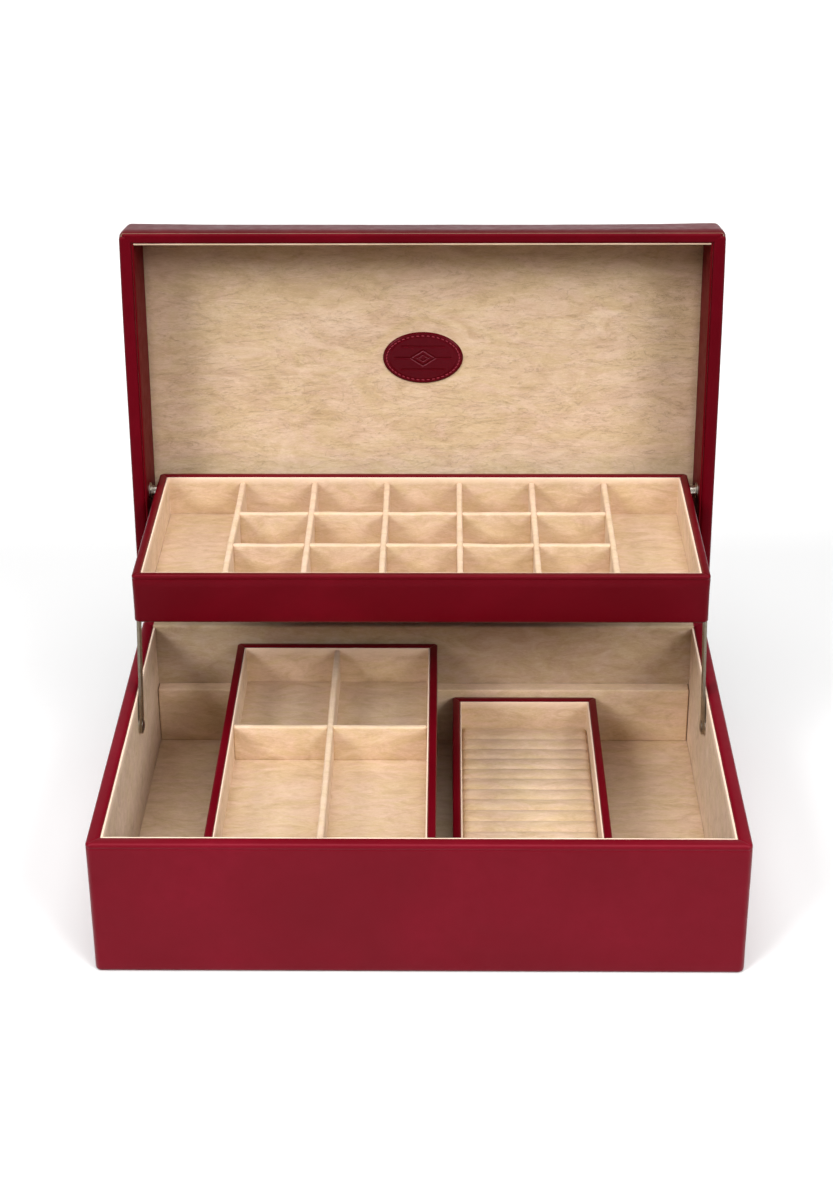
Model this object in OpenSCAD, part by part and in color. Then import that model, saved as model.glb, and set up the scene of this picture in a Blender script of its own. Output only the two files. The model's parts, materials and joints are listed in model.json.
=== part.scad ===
// Leather jewellery case with a rising 17-compartment tray, a sliding
// 4-compartment tray and a loose ring tray. Shown with the lid open.
// X runs across the front, Y to the back, Z up. The origin is at the
// centre of the underside of the base.

/* [Case] */
// Outside width of the base
case_w = 332; // [332:1:340]
// Outside depth of the base
case_d = 232; // [230:1:236]
// Outside height of the base, leather to leather
base_h = 78.3; // [78.3:0.1:80]
// Leather thickness on the outside of base and lid
skin_t = 1.2; // [1:0.1:1.4]
// Thickness of the base's wall boards
base_board = 5.7; // [5.2:0.1:5.8]
// Thickness of the base's bottom board
bottom_board = 3.3; // [2.3:0.5:3.3]
// Thickness of the base's suede lining
lining_t = 1.2; // [1:0.1:1.3]
// Radius of the upright corners of base and lid
corner_r = 3; // [3:0.5:5]
// Height of the ledges that carry the sliding tray, above the table
ledge_z = 40.1; // [39.6:0.1:40.4]
// Depth of each ledge, front to back
ledge_d = 8.5; // [6:0.5:8.5]

/* [Lid] */
// Outside width of the lid
lid_w = 337; // [334:0.2:340]
// Outside length of the lid, hinge side to front
lid_l = 230.8; // [229.4:0.2:234]
// Outside depth of the lid, rim to top
lid_d = 44.9; // [44.9:0.1:48]
// Thickness of the lid's wall boards
lid_board = 5.8; // [5.6:0.1:6]
// Radius of the soft shoulder around the top of the lid
shoulder_r = 16; // [10:1:16]
// How far the lid's front wall leans in between its rim and the shoulder
lid_lean = 3; // [0:0.2:3]
// Angle from closed to open
lid_open = 94.4; // [92:0.2:96]
// Long diameter of the oval leather badge
badge_w = 46.6; // [40:0.2:56]
// Short diameter of the oval leather badge
badge_h = 31; // [26:0.2:38]
// Distance from the hinge axis to the middle of the badge
badge_s = 149.4; // [120:0.2:170]

/* [Hinges] */
// Distance of the hinge axis behind the back of the base
hinge_back = 3.1; // [3:0.1:4]
// Height of the hinge axis above the base's top edge
hinge_up = 0.2; // [0.1:0.1:0.4]
// Length of each hinge
hinge_len = 40; // [30:1:50]
// Distance of each hinge from the middle of the case
hinge_x = 95; // [70:1:110]
// Outside radius of the hinge knuckles
knuckle_r = 2.4; // [2.2:0.1:2.6]
// Radius of the hinge pins
hinge_pin_r = 1.1; // [1:0.1:1.3]

/* [Lifting tray] */
// Outside width of the lifting tray
lift_w = 311; // [307:0.5:311]
// Outside depth of the lifting tray
lift_d = 131; // [123:1:132]
// Outside height of the lifting tray
lift_h = 29.1; // [28.4:0.1:29.4]
// Height of the underside of the raised tray above the table
lift_z = 128.9; // [128.5:0.1:130]
// Distance of the raised tray's front from the middle of the case
lift_y = 20; // [18:0.5:21]
// Number of long dividers
long_dividers = 6; // [2:1:8]
// Spacing of the long dividers
divider_pitch = 42.5; // [30:0.5:42.5]
// Thickness of the tray dividers
divider_t = 3.4; // [1.6:0.1:3.6]

/* [Lifting arms] */
// Height of the arm pivots in the base above the table
arm_z = 60.3; // [59.8:0.1:60.8]
// Distance of the arm pivots behind the middle of the case
arm_y = 26; // [24:1:28]
// How far back each arm leans between its two pivots
arm_lean = 20; // [18:0.5:21]
// How far up each arm reaches between its two pivots
arm_rise = 74; // [72:0.5:75]
// Width of the flat steel arms
arm_w = 9; // [7:0.5:9]
// Thickness of the flat steel arms
arm_t = 1.4; // [1.2:0.1:1.4]

/* [Sliding tray] */
// Outside width of the sliding tray
slide_w = 118; // [100:1:140]
// Outside depth of the sliding tray
slide_d = 214.4; // [212:0.2:215]
// Outside height of the sliding tray
slide_h = 27.2; // [20:0.2:27.2]
// Where the middle of the sliding tray is, left of the middle of the case
slide_x = -50.5; // [-90:0.5:-45]
// Where the sliding tray's cross divider is, behind the middle of the tray
cross_y = 17; // [-40:1:40]

/* [Ring tray] */
// Outside width of the ring tray
ring_w = 85; // [70:1:110]
// Outside depth of the ring tray
ring_d = 197; // [180:0.2:197.6]
// Outside height of the ring tray
ring_h = 31; // [24:0.2:33]
// Where the middle of the ring tray is, right of the middle of the case
ring_x = 59.8; // [50:0.5:90]
// Spacing of the ring rolls
roll_pitch = 10.6; // [10:0.1:12]
// Number of ring rolls
roll_n = 17; // [10:1:17]

/* [Tray walls] */
// Leather thickness on the trays
tray_skin = 0.8; // [0.6:0.1:1]
// Thickness of the tray wall boards
tray_board = 3.6; // [2.6:0.1:3.8]
// Thickness of the trays' suede lining
tray_lining = 0.9; // [0.8:0.1:1]

/* [Hidden] */
$fn = 48;

leather = [0.55, 0.06, 0.12];
leather_dark = [0.42, 0.03, 0.08];
suede = [0.87, 0.75, 0.58];
suede_edge = [0.96, 0.86, 0.73];
boardc = [0.62, 0.55, 0.45];
feltc = [0.30, 0.05, 0.08];
foamc = [0.92, 0.90, 0.84];
nickel = [0.75, 0.74, 0.70];
brassc = [0.72, 0.62, 0.40];

hx = case_w / 2;
hy = case_d / 2;
bx = hx - skin_t;                 // outside of the base boards
by = hy - skin_t;
ix = bx - base_board;             // inside of the base boards
iy = by - base_board;
lx = ix - lining_t;               // inside of the lining
ly = iy - lining_t;
foot = 0.8;                       // top of the underlay
deck = foot + bottom_board;       // top of the bottom board
suede_z = deck + 0.8;             // top of the floor suede
board_top = base_h - skin_t;
lining_top = base_h - 0.7;
flap_t = 0.3;                      // suede turned over the back rim

hinge_y = hy + hinge_back;
hinge_z = base_h + hinge_up;
rim = 0.3;                        // lid rim above the hinge axis
lidx = lid_w / 2;
lid_back = -hinge_back;           // lid frame: hinge axis at 0
lid_front = -hinge_back - lid_l;
lid_in = lid_board + skin_t;      // leather and board
panel_z = 37.6;                   // depth of the lid's panel
panel_t = 1.6;
top_z = panel_z + panel_t;
top_t = 2.5;
facing = 1;                       // lining inside the lid's walls

pivot_gap = 0.3;                  // tray side to arm
arm_x0 = lift_w / 2 + pivot_gap;
arm_x1 = arm_x0 + arm_t;
p2y = arm_y + arm_lean;           // front pivot of the lifting tray
p2z = arm_z + arm_rise;
p1y = hinge_y + arm_lean;         // rear pivot of the lifting tray
p1z = hinge_z + arm_rise;
pin_r = 1.5;
lift_my = lift_y + lift_d / 2;
lift_board = 3.6;
lift_in_y0 = lift_y + tray_skin + lift_board + 1;
lift_in_y1 = lift_y + lift_d - tray_skin - lift_board - 1;
lift_deck = lift_z + tray_skin + 3;
lift_suede = lift_deck + 1.2;
div_top = lift_z + lift_h - 3.5;
third = (lift_in_y1 - lift_in_y0) / 3;

slide_z = ledge_z + 0.3;
ring_z = suede_z + 0.3;
ts = tray_skin;
tw = tray_skin + tray_board;
tl = tw + tray_lining;

// ---------- shared shapes ----------

module box(x0, x1, y0, y1, z0, z1) {
    translate([x0, y0, z0]) cube([x1 - x0, y1 - y0, z1 - z0]);
}

// Flat plate with round upright corners
module rounded_plate(w, d, h, r) {
    linear_extrude(h) union() {
        square([w - 2 * r, d], center = true);
        square([w, d - 2 * r], center = true);
        for (sx = [-1, 1], sy = [-1, 1])
            translate([sx * (w / 2 - r), sy * (d / 2 - r)]) circle(r);
    }
}

// Outline with two round top corners, resting on y = 0. Its left side
// leans in by lean where the corner begins.
module round_top(w, h, r, lean) {
    foot_d = sqrt((lean + r) * (lean + r) + (h - r) * (h - r));
    a = acos(r / foot_d) - atan2(h - r, lean + r);
    cl = w / 2 - lean - r;
    union() {
        polygon([[0, 0], [w / 2, 0], [w / 2, h - r], [w / 2 - r, h], [-cl, h],
            [-cl - r * cos(a), h - r + r * sin(a)], [-w / 2, 0]]);
        translate([w / 2 - r, h - r]) circle(r, $fn = 96);
        translate([-cl, h - r]) circle(r, $fn = 96);
    }
}

// Lid body with soft shoulders, cut in by e on every outside face
module lid_block(e) {
    w = lid_w - 2 * e;
    l = lid_l - 2 * e;
    h = lid_d - rim - e;
    my = (lid_front + lid_back) / 2;
    translate([0, my, rim]) intersection() {
        rotate([90, 0, 0]) translate([0, 0, -l / 2]) linear_extrude(l)
            round_top(w, h, shoulder_r - e, 0);
        rotate([90, 0, 90]) translate([0, 0, -w / 2]) linear_extrude(w)
            round_top(l, h, shoulder_r - e, lid_lean);
        rounded_plate(w, l, h, max(corner_r - e, 0.6));
    }
}

module lid_pose() {
    translate([0, hinge_y, hinge_z]) rotate([-lid_open, 0, 0]) children();
}

// Cylinder along X between two X values
module rod_x(x0, x1, y, z, r) {
    translate([min(x0, x1), y, z]) rotate([0, 90, 0]) cylinder(r = r, h = abs(x1 - x0));
}

// Cylinder along Y between two Y values
module rod_y(y0, y1, x, z, r) {
    translate([x, max(y0, y1), z]) rotate([90, 0, 0]) cylinder(r = r, h = abs(y1 - y0));
}

// Leather of an open tray: outside, underside and turned-over rim
module tray_leather(w, d, h, b) {
    difference() {
        rounded_plate(w, d, h, 2);
        translate([0, 0, ts]) linear_extrude(h - 2 * ts)
            square([w - 2 * ts, d - 2 * ts], center = true);
        translate([0, 0, h / 2]) linear_extrude(h)
            square([w - 2 * (ts + b), d - 2 * (ts + b)], center = true);
    }
}

// One wall board of a tray, running along X
module tray_end(w, d, h, b, s) {
    y0 = s > 0 ? d / 2 - ts - b : -d / 2 + ts;
    box(-w / 2 + ts, w / 2 - ts, y0, y0 + b, ts, h - ts);
}

// One wall board of a tray, running along Y
module tray_side(w, d, h, b, s) {
    x0 = s > 0 ? w / 2 - ts - b : -w / 2 + ts;
    box(x0, x0 + b, -d / 2 + ts + b, d / 2 - ts - b, ts, h - ts);
}

// Floor board between the wall boards
module tray_floor(w, d, b, f) {
    box(-w / 2 + ts + b, w / 2 - ts - b, -d / 2 + ts + b, d / 2 - ts - b, ts, ts + f);
}

// Suede that lines the walls and floor of a tray
module tray_liner(w, d, h, b, f, t) {
    a = w - 2 * (ts + b);
    c = d - 2 * (ts + b);
    difference() {
        translate([-a / 2, -c / 2, ts + f]) cube([a, c, h - 0.6 - ts - f]);
        translate([-a / 2 + t, -c / 2 + t, ts + f + t]) cube([a - 2 * t, c - 2 * t, h]);
    }
}

// ---------- base ----------

module screw_holes_base() {
    for (sx = [-1, 1], dx = [-12, 12])
        rod_y(hy + 1.2, iy + 0.6, sx * hinge_x + dx, base_h - 11, 1.1);
}

module base_board_along_x(s) {
    difference() {
        box(-bx, bx, s > 0 ? iy : -by, s > 0 ? by : -iy, foot, board_top);
        if (s > 0) screw_holes_base();
    }
}

module base_front_board() color(boardc) base_board_along_x(-1);
module base_back_board() color(boardc) base_board_along_x(1);

module base_side_board(s) {
    difference() {
        box(s > 0 ? ix : -bx, s > 0 ? bx : -ix, -iy, iy, foot, board_top);
        rod_x(s * (ix - 1), s * (ix + 3), arm_y, arm_z, pin_r);
    }
}

module base_left_board() color(boardc) base_side_board(-1);
module base_right_board() color(boardc) base_side_board(1);

module base_bottom_board() color(boardc) box(-ix, ix, -iy, iy, foot, deck);

module base_leather() color(leather) difference() {
    translate([0, 0, 0.2]) rounded_plate(case_w, case_d, base_h - 0.2, corner_r);
    box(-bx, bx, -by, by, foot, board_top);
    box(-ix, ix, -iy, iy, base_h / 2, base_h + 1);
    box(-hx + 14, hx - 14, -hy + 14, hy - 14, -1, base_h / 2);
    screw_holes_base();
}

module base_underlay() color(feltc)
    box(-hx + 14, hx - 14, -hy + 14, hy - 14, 0, foot);

module base_floor_suede() color(suede) box(-lx, lx, -ly, ly, deck, suede_z);

module base_front_lining() color(suede) box(-ix, ix, -iy, -ly, deck, lining_top);
// The back lining is turned over the rim, under the lid's back edge
module base_back_lining() color(suede) {
    box(-ix, ix, ly, iy, deck, base_h + flap_t);
    box(-ix, ix, ly, hy - 1.4, base_h, base_h + flap_t);
}

module base_side_lining(s) {
    difference() {
        box(s > 0 ? lx : -ix, s > 0 ? ix : -lx, -ly, ly, deck, lining_top);
        rod_x(s * (lx - 1), s * (ix + 1), arm_y, arm_z, pin_r);
    }
}

module base_left_lining() color(suede) base_side_lining(-1);
module base_right_lining() color(suede) base_side_lining(1);

module front_ledge() color(suede) box(-lx, lx, -ly, -ly + ledge_d, suede_z, ledge_z);
module back_ledge() color(suede) box(-lx, lx, ly - ledge_d, ly, suede_z, ledge_z);

// ---------- hinges ----------

// Outer knuckles and leaf on the base, one hinge
module base_leaf() {
    third_len = hinge_len / 3;
    difference() {
        union() {
            box(-hinge_len / 2, hinge_len / 2, hy, hy + 1.2, base_h - 17, base_h - 3);
            for (s = [-1, 1]) {
                x0 = s > 0 ? hinge_len / 2 - third_len + 0.3 : -hinge_len / 2;
                rod_x(x0, x0 + third_len - 0.3, hinge_y, hinge_z, knuckle_r);
                box(x0, x0 + third_len - 0.3, hy, hy + 1.2, base_h - 3.5, hinge_z);
            }
        }
        rod_x(-hinge_len, hinge_len, hinge_y, hinge_z, hinge_pin_r);
        for (dx = [-12, 12]) rod_y(hy - 1, hy + 3, dx, base_h - 11, 1.1);
    }
}

module base_hinge_leaves() color(brassc)
    for (s = [-1, 1]) translate([s * hinge_x, 0, 0]) base_leaf();

module hinge_pins() color(brassc) for (s = [-1, 1])
    rod_x(s * hinge_x - hinge_len / 2 - 0.6, s * hinge_x + hinge_len / 2 + 0.6,
        hinge_y, hinge_z, hinge_pin_r);

module base_hinge_screws() color(brassc) for (sx = [-1, 1], dx = [-12, 12]) {
    x = sx * hinge_x + dx;
    z = base_h - 11;
    difference() {
        union() {
            rod_y(hy + 1.2, hy + 2, x, z, 2.3);
            rod_y(iy + 0.6, hy + 1.3, x, z, 1.1);
        }
        box(x - 2, x + 2, hy + 1.7, hy + 3, z - 0.25, z + 0.25);
    }
}

// Middle knuckle and leaf on the lid, in the lid's frame
module lid_leaf() {
    k = hinge_len / 3 - 0.6;
    difference() {
        union() {
            box(-hinge_len / 2, hinge_len / 2, -hinge_back, -hinge_back + 1.2, 3.2, 17.2);
            rod_x(-k / 2, k / 2, 0, 0, knuckle_r);
            box(-k / 2, k / 2, -hinge_back + 0.4, -hinge_back + 1.2, 0, 3.7);
        }
        rod_x(-hinge_len, hinge_len, 0, 0, hinge_pin_r + 0.05);
        for (dx = [-12, 12]) rod_y(-hinge_back - 1, -hinge_back + 3, dx, 11.2, 1.1);
    }
}

module lid_hinge_leaves() color(brassc) lid_pose()
    for (s = [-1, 1]) translate([s * hinge_x, 0, 0]) lid_leaf();

module lid_screw_holes() {
    for (sx = [-1, 1], dx = [-12, 12])
        rod_y(lid_back + 1.2, lid_back - lid_in + 0.6, sx * hinge_x + dx, 11.2, 1.1);
}

module lid_hinge_screws() color(brassc) lid_pose()
    for (sx = [-1, 1], dx = [-12, 12]) {
        x = sx * hinge_x + dx;
        difference() {
            union() {
                rod_y(lid_back + 1.2, lid_back + 2, x, 11.2, 2.3);
                rod_y(lid_back - lid_in + 0.6, lid_back + 1.3, x, 11.2, 1.1);
            }
            box(x - 2, x + 2, lid_back + 1.7, lid_back + 3, 10.95, 11.45);
        }
    }

// ---------- lid ----------

module hanger_holes(r) {
    // rear tray pivots, in the lid's frame
    y = arm_lean * cos(lid_open) - arm_rise * sin(lid_open);
    z = arm_lean * sin(lid_open) + arm_rise * cos(lid_open);
    for (s = [-1, 1]) rod_x(s * (lidx - lid_in - 2), s * (lidx - skin_t - 1.6), y, z, r);
}

// A slice of the lid's inside, between two depths
module lid_slice(x0, x1, y0, y1, z0, z1) {
    intersection() {
        lid_block(skin_t);
        box(x0, x1, y0, y1, z0, z1);
    }
}

module lid_front_board() color(boardc) lid_pose()
    lid_slice(-lidx, lidx, lid_front, lid_front + lid_in, 1.5, panel_z);
module lid_back_board() color(boardc) lid_pose() difference() {
    lid_slice(-lidx, lidx, lid_back - lid_in, lid_back, 1.5, panel_z);
    lid_screw_holes();
}
module lid_left_board() color(boardc) lid_pose() difference() {
    lid_slice(-lidx, -lidx + lid_in, lid_front + lid_in, lid_back - lid_in, 1.5, panel_z);
    hanger_holes(pin_r);
}
module lid_right_board() color(boardc) lid_pose() difference() {
    lid_slice(lidx - lid_in, lidx, lid_front + lid_in, lid_back - lid_in, 1.5, panel_z);
    hanger_holes(pin_r);
}
module lid_top_board() color(boardc) lid_pose()
    lid_slice(-lidx, lidx, lid_front, lid_back, top_z, top_z + top_t);
module lid_padding() color(foamc) lid_pose()
    lid_slice(-lidx, lidx, lid_front, lid_back, top_z + top_t, lid_d);
module lid_suede_panel() color(suede) lid_pose()
    lid_slice(-lidx, lidx, lid_front, lid_back, panel_z, top_z);

// Outer leather, turned over the rim and down the inside of the side walls
module lid_leather() color(leather) lid_pose() difference() {
    union() {
        difference() {
            lid_block(0);
            intersection() {
                lid_block(skin_t);
                box(-lidx, lidx, lid_front, lid_back, 1.5, lid_d);
            }
            box(-lidx + lid_in, lidx - lid_in, lid_front + lid_in, lid_back - lid_in, 0, 2);
        }
        for (s = [-1, 1]) {
            x0 = s > 0 ? lidx - lid_in - facing : -lidx + lid_in;
            box(x0, x0 + facing, lid_front + lid_in, lid_back - lid_in, rim, panel_z);
        }
    }
    hanger_holes(pin_r);
    lid_screw_holes();
}

module lid_end_linings() color(suede_edge) lid_pose() {
    a = lidx - lid_in - facing;
    box(-a, a, lid_front + lid_in, lid_front + lid_in + facing, rim + 0.5, panel_z);
    box(-a, a, lid_back - lid_in - facing, lid_back - lid_in, rim + 0.5, panel_z);
}

module badge() color(leather_dark) lid_pose()
    translate([0, -badge_s, panel_z - 1.2]) linear_extrude(1.2)
        scale([badge_w / badge_h, 1]) circle(d = badge_h, $fn = 72);

// Running stitches around the badge, each a short thread on its face
module badge_stitching() color(leather) lid_pose()
    for (i = [0:43]) {
        a = i * 360 / 44;
        ex = (badge_w / 2 - 2) * cos(a);
        ey = (badge_h / 2 - 2) * sin(a);
        d = atan2((badge_h / 2 - 2) * cos(a), -(badge_w / 2 - 2) * sin(a));
        translate([ex, ey - badge_s, panel_z - 1.4]) rotate([0, 0, d])
            translate([-0.8, -0.25, 0]) cube([1.6, 0.5, 0.2]);
    }

// Pins on the lid's side walls that carry the back of the lifting tray
module tray_hanger_pins() color(nickel) for (s = [-1, 1]) {
    union() {
        rod_x(s * (lift_w / 2 - 3.6), s * (lidx - skin_t - 1.6), p1y, p1z, pin_r);
        rod_x(s * (lift_w / 2 + 0.4), s * (lidx - lid_in - facing), p1y, p1z, 3);
        rod_x(s * (lidx - lid_in - facing - 0.8), s * (lidx - lid_in - facing), p1y, p1z, 4.5);
    }
}

// ---------- lifting arms ----------

module arm_pivot_rivets() color(nickel) for (s = [-1, 1]) union() {
    rod_x(s * (arm_x0 - 1), s * (arm_x0 - 0.1), arm_y, arm_z, 3.6);
    rod_x(s * (arm_x0 - 0.5), s * (ix + 3), arm_y, arm_z, pin_r);
}

module arm_washers() color(nickel) for (s = [-1, 1]) difference() {
    rod_x(s * (arm_x1 + 0.1), s * lx, arm_y, arm_z, 4);
    rod_x(s * (arm_x1 - 1), s * (lx + 1), arm_y, arm_z, pin_r + 0.1);
}

// Flat steel arm with a round end and a bore at each pivot
module lifting_arm(s) {
    len = sqrt(arm_lean * arm_lean + arm_rise * arm_rise);
    x0 = s > 0 ? arm_x0 : -arm_x1;
    translate([x0, arm_y, arm_z]) rotate([90 - atan2(arm_lean, arm_rise), 0, 0])
        rotate([90, 0, 90]) linear_extrude(arm_t) difference() {
            union() {
                translate([0, -arm_w / 2]) square([len, arm_w]);
                circle(arm_w / 2);
                translate([len, 0]) circle(arm_w / 2);
            }
            circle(pin_r + 0.06);
            translate([len, 0]) circle(pin_r + 0.1);
        }
}

module left_arm() color(nickel) lifting_arm(-1);
module right_arm() color(nickel) lifting_arm(1);

// ---------- lifting tray ----------

module lift_pose() {
    translate([0, lift_my, lift_z]) children();
}

module lift_pivot_holes() {
    for (s = [-1, 1]) {
        rod_x(s * (lift_w / 2 - 3.8), s * (lift_w / 2 + 1), p1y, p1z, pin_r + 0.06);
        rod_x(s * (lift_w / 2 - 3.8), s * (lift_w / 2 + 1), p2y, p2z, pin_r);
    }
}

module lift_tray_front_board() color(boardc) lift_pose()
    tray_end(lift_w, lift_d, lift_h, lift_board, -1);
module lift_tray_back_board() color(boardc) lift_pose()
    tray_end(lift_w, lift_d, lift_h, lift_board, 1);
module lift_tray_left_board() color(boardc) difference() {
    lift_pose() tray_side(lift_w, lift_d, lift_h, lift_board, -1);
    lift_pivot_holes();
}
module lift_tray_right_board() color(boardc) difference() {
    lift_pose() tray_side(lift_w, lift_d, lift_h, lift_board, 1);
    lift_pivot_holes();
}
module lift_tray_floor() color(boardc) lift_pose()
    tray_floor(lift_w, lift_d, lift_board, 3);
module lift_tray_leather() color(leather) difference() {
    lift_pose() tray_leather(lift_w, lift_d, lift_h, lift_board);
    lift_pivot_holes();
}
module lift_tray_lining() color(suede_edge) lift_pose() {
    w = lift_w - 2 * (ts + lift_board);
    d = lift_d - 2 * (ts + lift_board);
    difference() {
        translate([-w / 2, -d / 2, ts + 3]) cube([w, d, lift_h - ts - 3.6]);
        translate([-w / 2 + 1, -d / 2 + 1, 0]) cube([w - 2, d - 2, lift_h + 1]);
    }
}
module lift_tray_floor_suede() color(suede) {
    w = lift_w / 2 - ts - lift_board - 1;
    box(-w, w, lift_in_y0, lift_in_y1, lift_deck, lift_suede);
}
module lift_tray_long_dividers() color(suede) for (i = [0:long_dividers - 1]) {
    x = (i - (long_dividers - 1) / 2) * divider_pitch;
    box(x - divider_t / 2, x + divider_t / 2, lift_in_y0, lift_in_y1, lift_suede, div_top);
}
module lift_tray_cross_dividers() color(suede)
    for (i = [0:long_dividers - 2], j = [1, 2]) {
        x = (i - (long_dividers - 2) / 2) * divider_pitch;
        a = (divider_pitch - divider_t) / 2;
        y = lift_in_y0 + j * third;
        box(x - a, x + a, y - divider_t / 2, y + divider_t / 2, lift_suede, div_top);
    }
// Pins on the tray's sides that the arms turn on
module lift_tray_front_pins() color(nickel) for (s = [-1, 1]) union() {
    rod_x(s * (lift_w / 2 - 3.8), s * (arm_x1 + 0.2), p2y, p2z, pin_r);
    rod_x(s * lift_w / 2, s * (arm_x0 - 0.1), p2y, p2z, 3.2);
}

// ---------- sliding tray ----------

module slide_pose() {
    translate([slide_x, 0, slide_z]) children();
}

module slide_tray_end_boards() color(boardc) slide_pose() for (s = [-1, 1])
    tray_end(slide_w, slide_d, slide_h, tray_board, s);
module slide_tray_side_boards() color(boardc) slide_pose() for (s = [-1, 1])
    tray_side(slide_w, slide_d, slide_h, tray_board, s);
module slide_tray_floor() color(boardc) slide_pose()
    tray_floor(slide_w, slide_d, tray_board, 2.4);
module slide_tray_leather() color(leather) slide_pose()
    tray_leather(slide_w, slide_d, slide_h, tray_board);
module slide_tray_lining() color(suede) slide_pose()
    tray_liner(slide_w, slide_d, slide_h, tray_board, 2.4, tray_lining);
module slide_tray_dividers() color(suede) slide_pose() {
    z0 = ts + 2.4 + tray_lining;
    z1 = slide_h - 1.4;
    a = divider_t / 2;
    box(-a, a, -slide_d / 2 + tl, slide_d / 2 - tl, z0, z1);
    for (s = [-1, 1])
        box(s > 0 ? a + 0.05 : -slide_w / 2 + tl, s > 0 ? slide_w / 2 - tl : -a - 0.05,
            cross_y - a, cross_y + a, z0, z1);
}

// ---------- ring tray ----------

module ring_pose() {
    translate([ring_x, 0, ring_z]) children();
}

module ring_tray_end_boards() color(boardc) ring_pose() for (s = [-1, 1])
    tray_end(ring_w, ring_d, ring_h, tray_board, s);
module ring_tray_side_boards() color(boardc) ring_pose() for (s = [-1, 1])
    tray_side(ring_w, ring_d, ring_h, tray_board, s);
module ring_tray_floor() color(boardc) ring_pose()
    tray_floor(ring_w, ring_d, tray_board, 2.4);
module ring_tray_leather() color(leather) ring_pose()
    tray_leather(ring_w, ring_d, ring_h, tray_board);
module ring_tray_lining() color(suede) ring_pose()
    tray_liner(ring_w, ring_d, ring_h, tray_board, 2.4, tray_lining);
// Foam rolls side by side on a flat base, covered in suede
module ring_roll_pad() color(suede) ring_pose() {
    z0 = ts + 2.4 + tray_lining;
    a = ring_w / 2 - tl;
    c = ring_d / 2 - tl;
    union() {
        box(-a, a, -c, c, z0, z0 + 5.5);
        for (i = [0:roll_n - 1])
            rod_x(-a, a, (i - (roll_n - 1) / 2) * roll_pitch, z0 + 5.5, roll_pitch / 2 - 0.15);
    }
}

base_front_board();
base_back_board();
base_left_board();
base_right_board();
base_bottom_board();
base_leather();
base_underlay();
base_floor_suede();
base_front_lining();
base_back_lining();
base_left_lining();
base_right_lining();
front_ledge();
back_ledge();
base_hinge_leaves();
hinge_pins();
base_hinge_screws();
arm_pivot_rivets();
arm_washers();
lid_front_board();
lid_back_board();
lid_left_board();
lid_right_board();
lid_top_board();
lid_padding();
lid_leather();
lid_suede_panel();
lid_end_linings();
badge();
badge_stitching();
lid_hinge_leaves();
lid_hinge_screws();
tray_hanger_pins();
left_arm();
right_arm();
lift_tray_front_board();
lift_tray_back_board();
lift_tray_left_board();
lift_tray_right_board();
lift_tray_floor();
lift_tray_leather();
lift_tray_lining();
lift_tray_floor_suede();
lift_tray_long_dividers();
lift_tray_cross_dividers();
lift_tray_front_pins();
slide_tray_end_boards();
slide_tray_side_boards();
slide_tray_floor();
slide_tray_leather();
slide_tray_lining();
slide_tray_dividers();
ring_tray_end_boards();
ring_tray_side_boards();
ring_tray_floor();
ring_tray_leather();
ring_tray_lining();
ring_roll_pad();
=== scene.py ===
import json
import math

import bmesh
import bpy
from mathutils import Matrix, Vector, noise


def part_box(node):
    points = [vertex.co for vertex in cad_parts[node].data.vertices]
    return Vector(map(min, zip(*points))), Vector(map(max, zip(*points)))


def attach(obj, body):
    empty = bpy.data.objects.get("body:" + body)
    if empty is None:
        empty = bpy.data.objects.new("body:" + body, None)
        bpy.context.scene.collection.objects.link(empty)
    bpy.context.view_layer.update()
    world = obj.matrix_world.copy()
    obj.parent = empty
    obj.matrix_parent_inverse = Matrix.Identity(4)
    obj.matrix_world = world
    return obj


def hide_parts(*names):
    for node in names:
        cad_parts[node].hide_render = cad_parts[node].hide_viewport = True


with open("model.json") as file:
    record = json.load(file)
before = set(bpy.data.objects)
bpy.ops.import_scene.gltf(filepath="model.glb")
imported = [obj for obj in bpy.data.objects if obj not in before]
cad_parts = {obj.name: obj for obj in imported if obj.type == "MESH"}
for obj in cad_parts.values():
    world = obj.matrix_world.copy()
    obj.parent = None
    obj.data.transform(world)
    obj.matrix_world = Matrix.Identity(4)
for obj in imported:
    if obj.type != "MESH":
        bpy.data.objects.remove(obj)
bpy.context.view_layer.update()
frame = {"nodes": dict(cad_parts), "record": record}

MM = 0.001
JOINTS = {j["name"]: j for j in frame["record"]["behaviour"]["joints"]}


# ------------------------------------------------------------------ measures
def box_mm(node):
    """Lowest and highest corner of a CAD node, in millimetres."""
    lo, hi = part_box(node)
    return Vector(lo) / MM, Vector(hi) / MM


HINGE = Vector(JOINTS["lid_hinge"]["pos_m"])
OPEN = math.radians(JOINTS["lid_hinge"]["range_deg"][1])
LID = Matrix.Translation(HINGE) @ Matrix.Rotation(-OPEN, 4, "X")
LID_INV = LID.inverted()


def lid_box(node):
    """A lid node's box in the lid's own frame (hinge axis at 0, rim plane near z 0), in millimetres."""
    pts = [LID_INV @ v.co for v in frame["nodes"][node].data.vertices]
    lo = Vector([min(p[i] for p in pts) for i in range(3)]) / MM
    hi = Vector([max(p[i] for p in pts) for i in range(3)]) / MM
    return lo, hi


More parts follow.
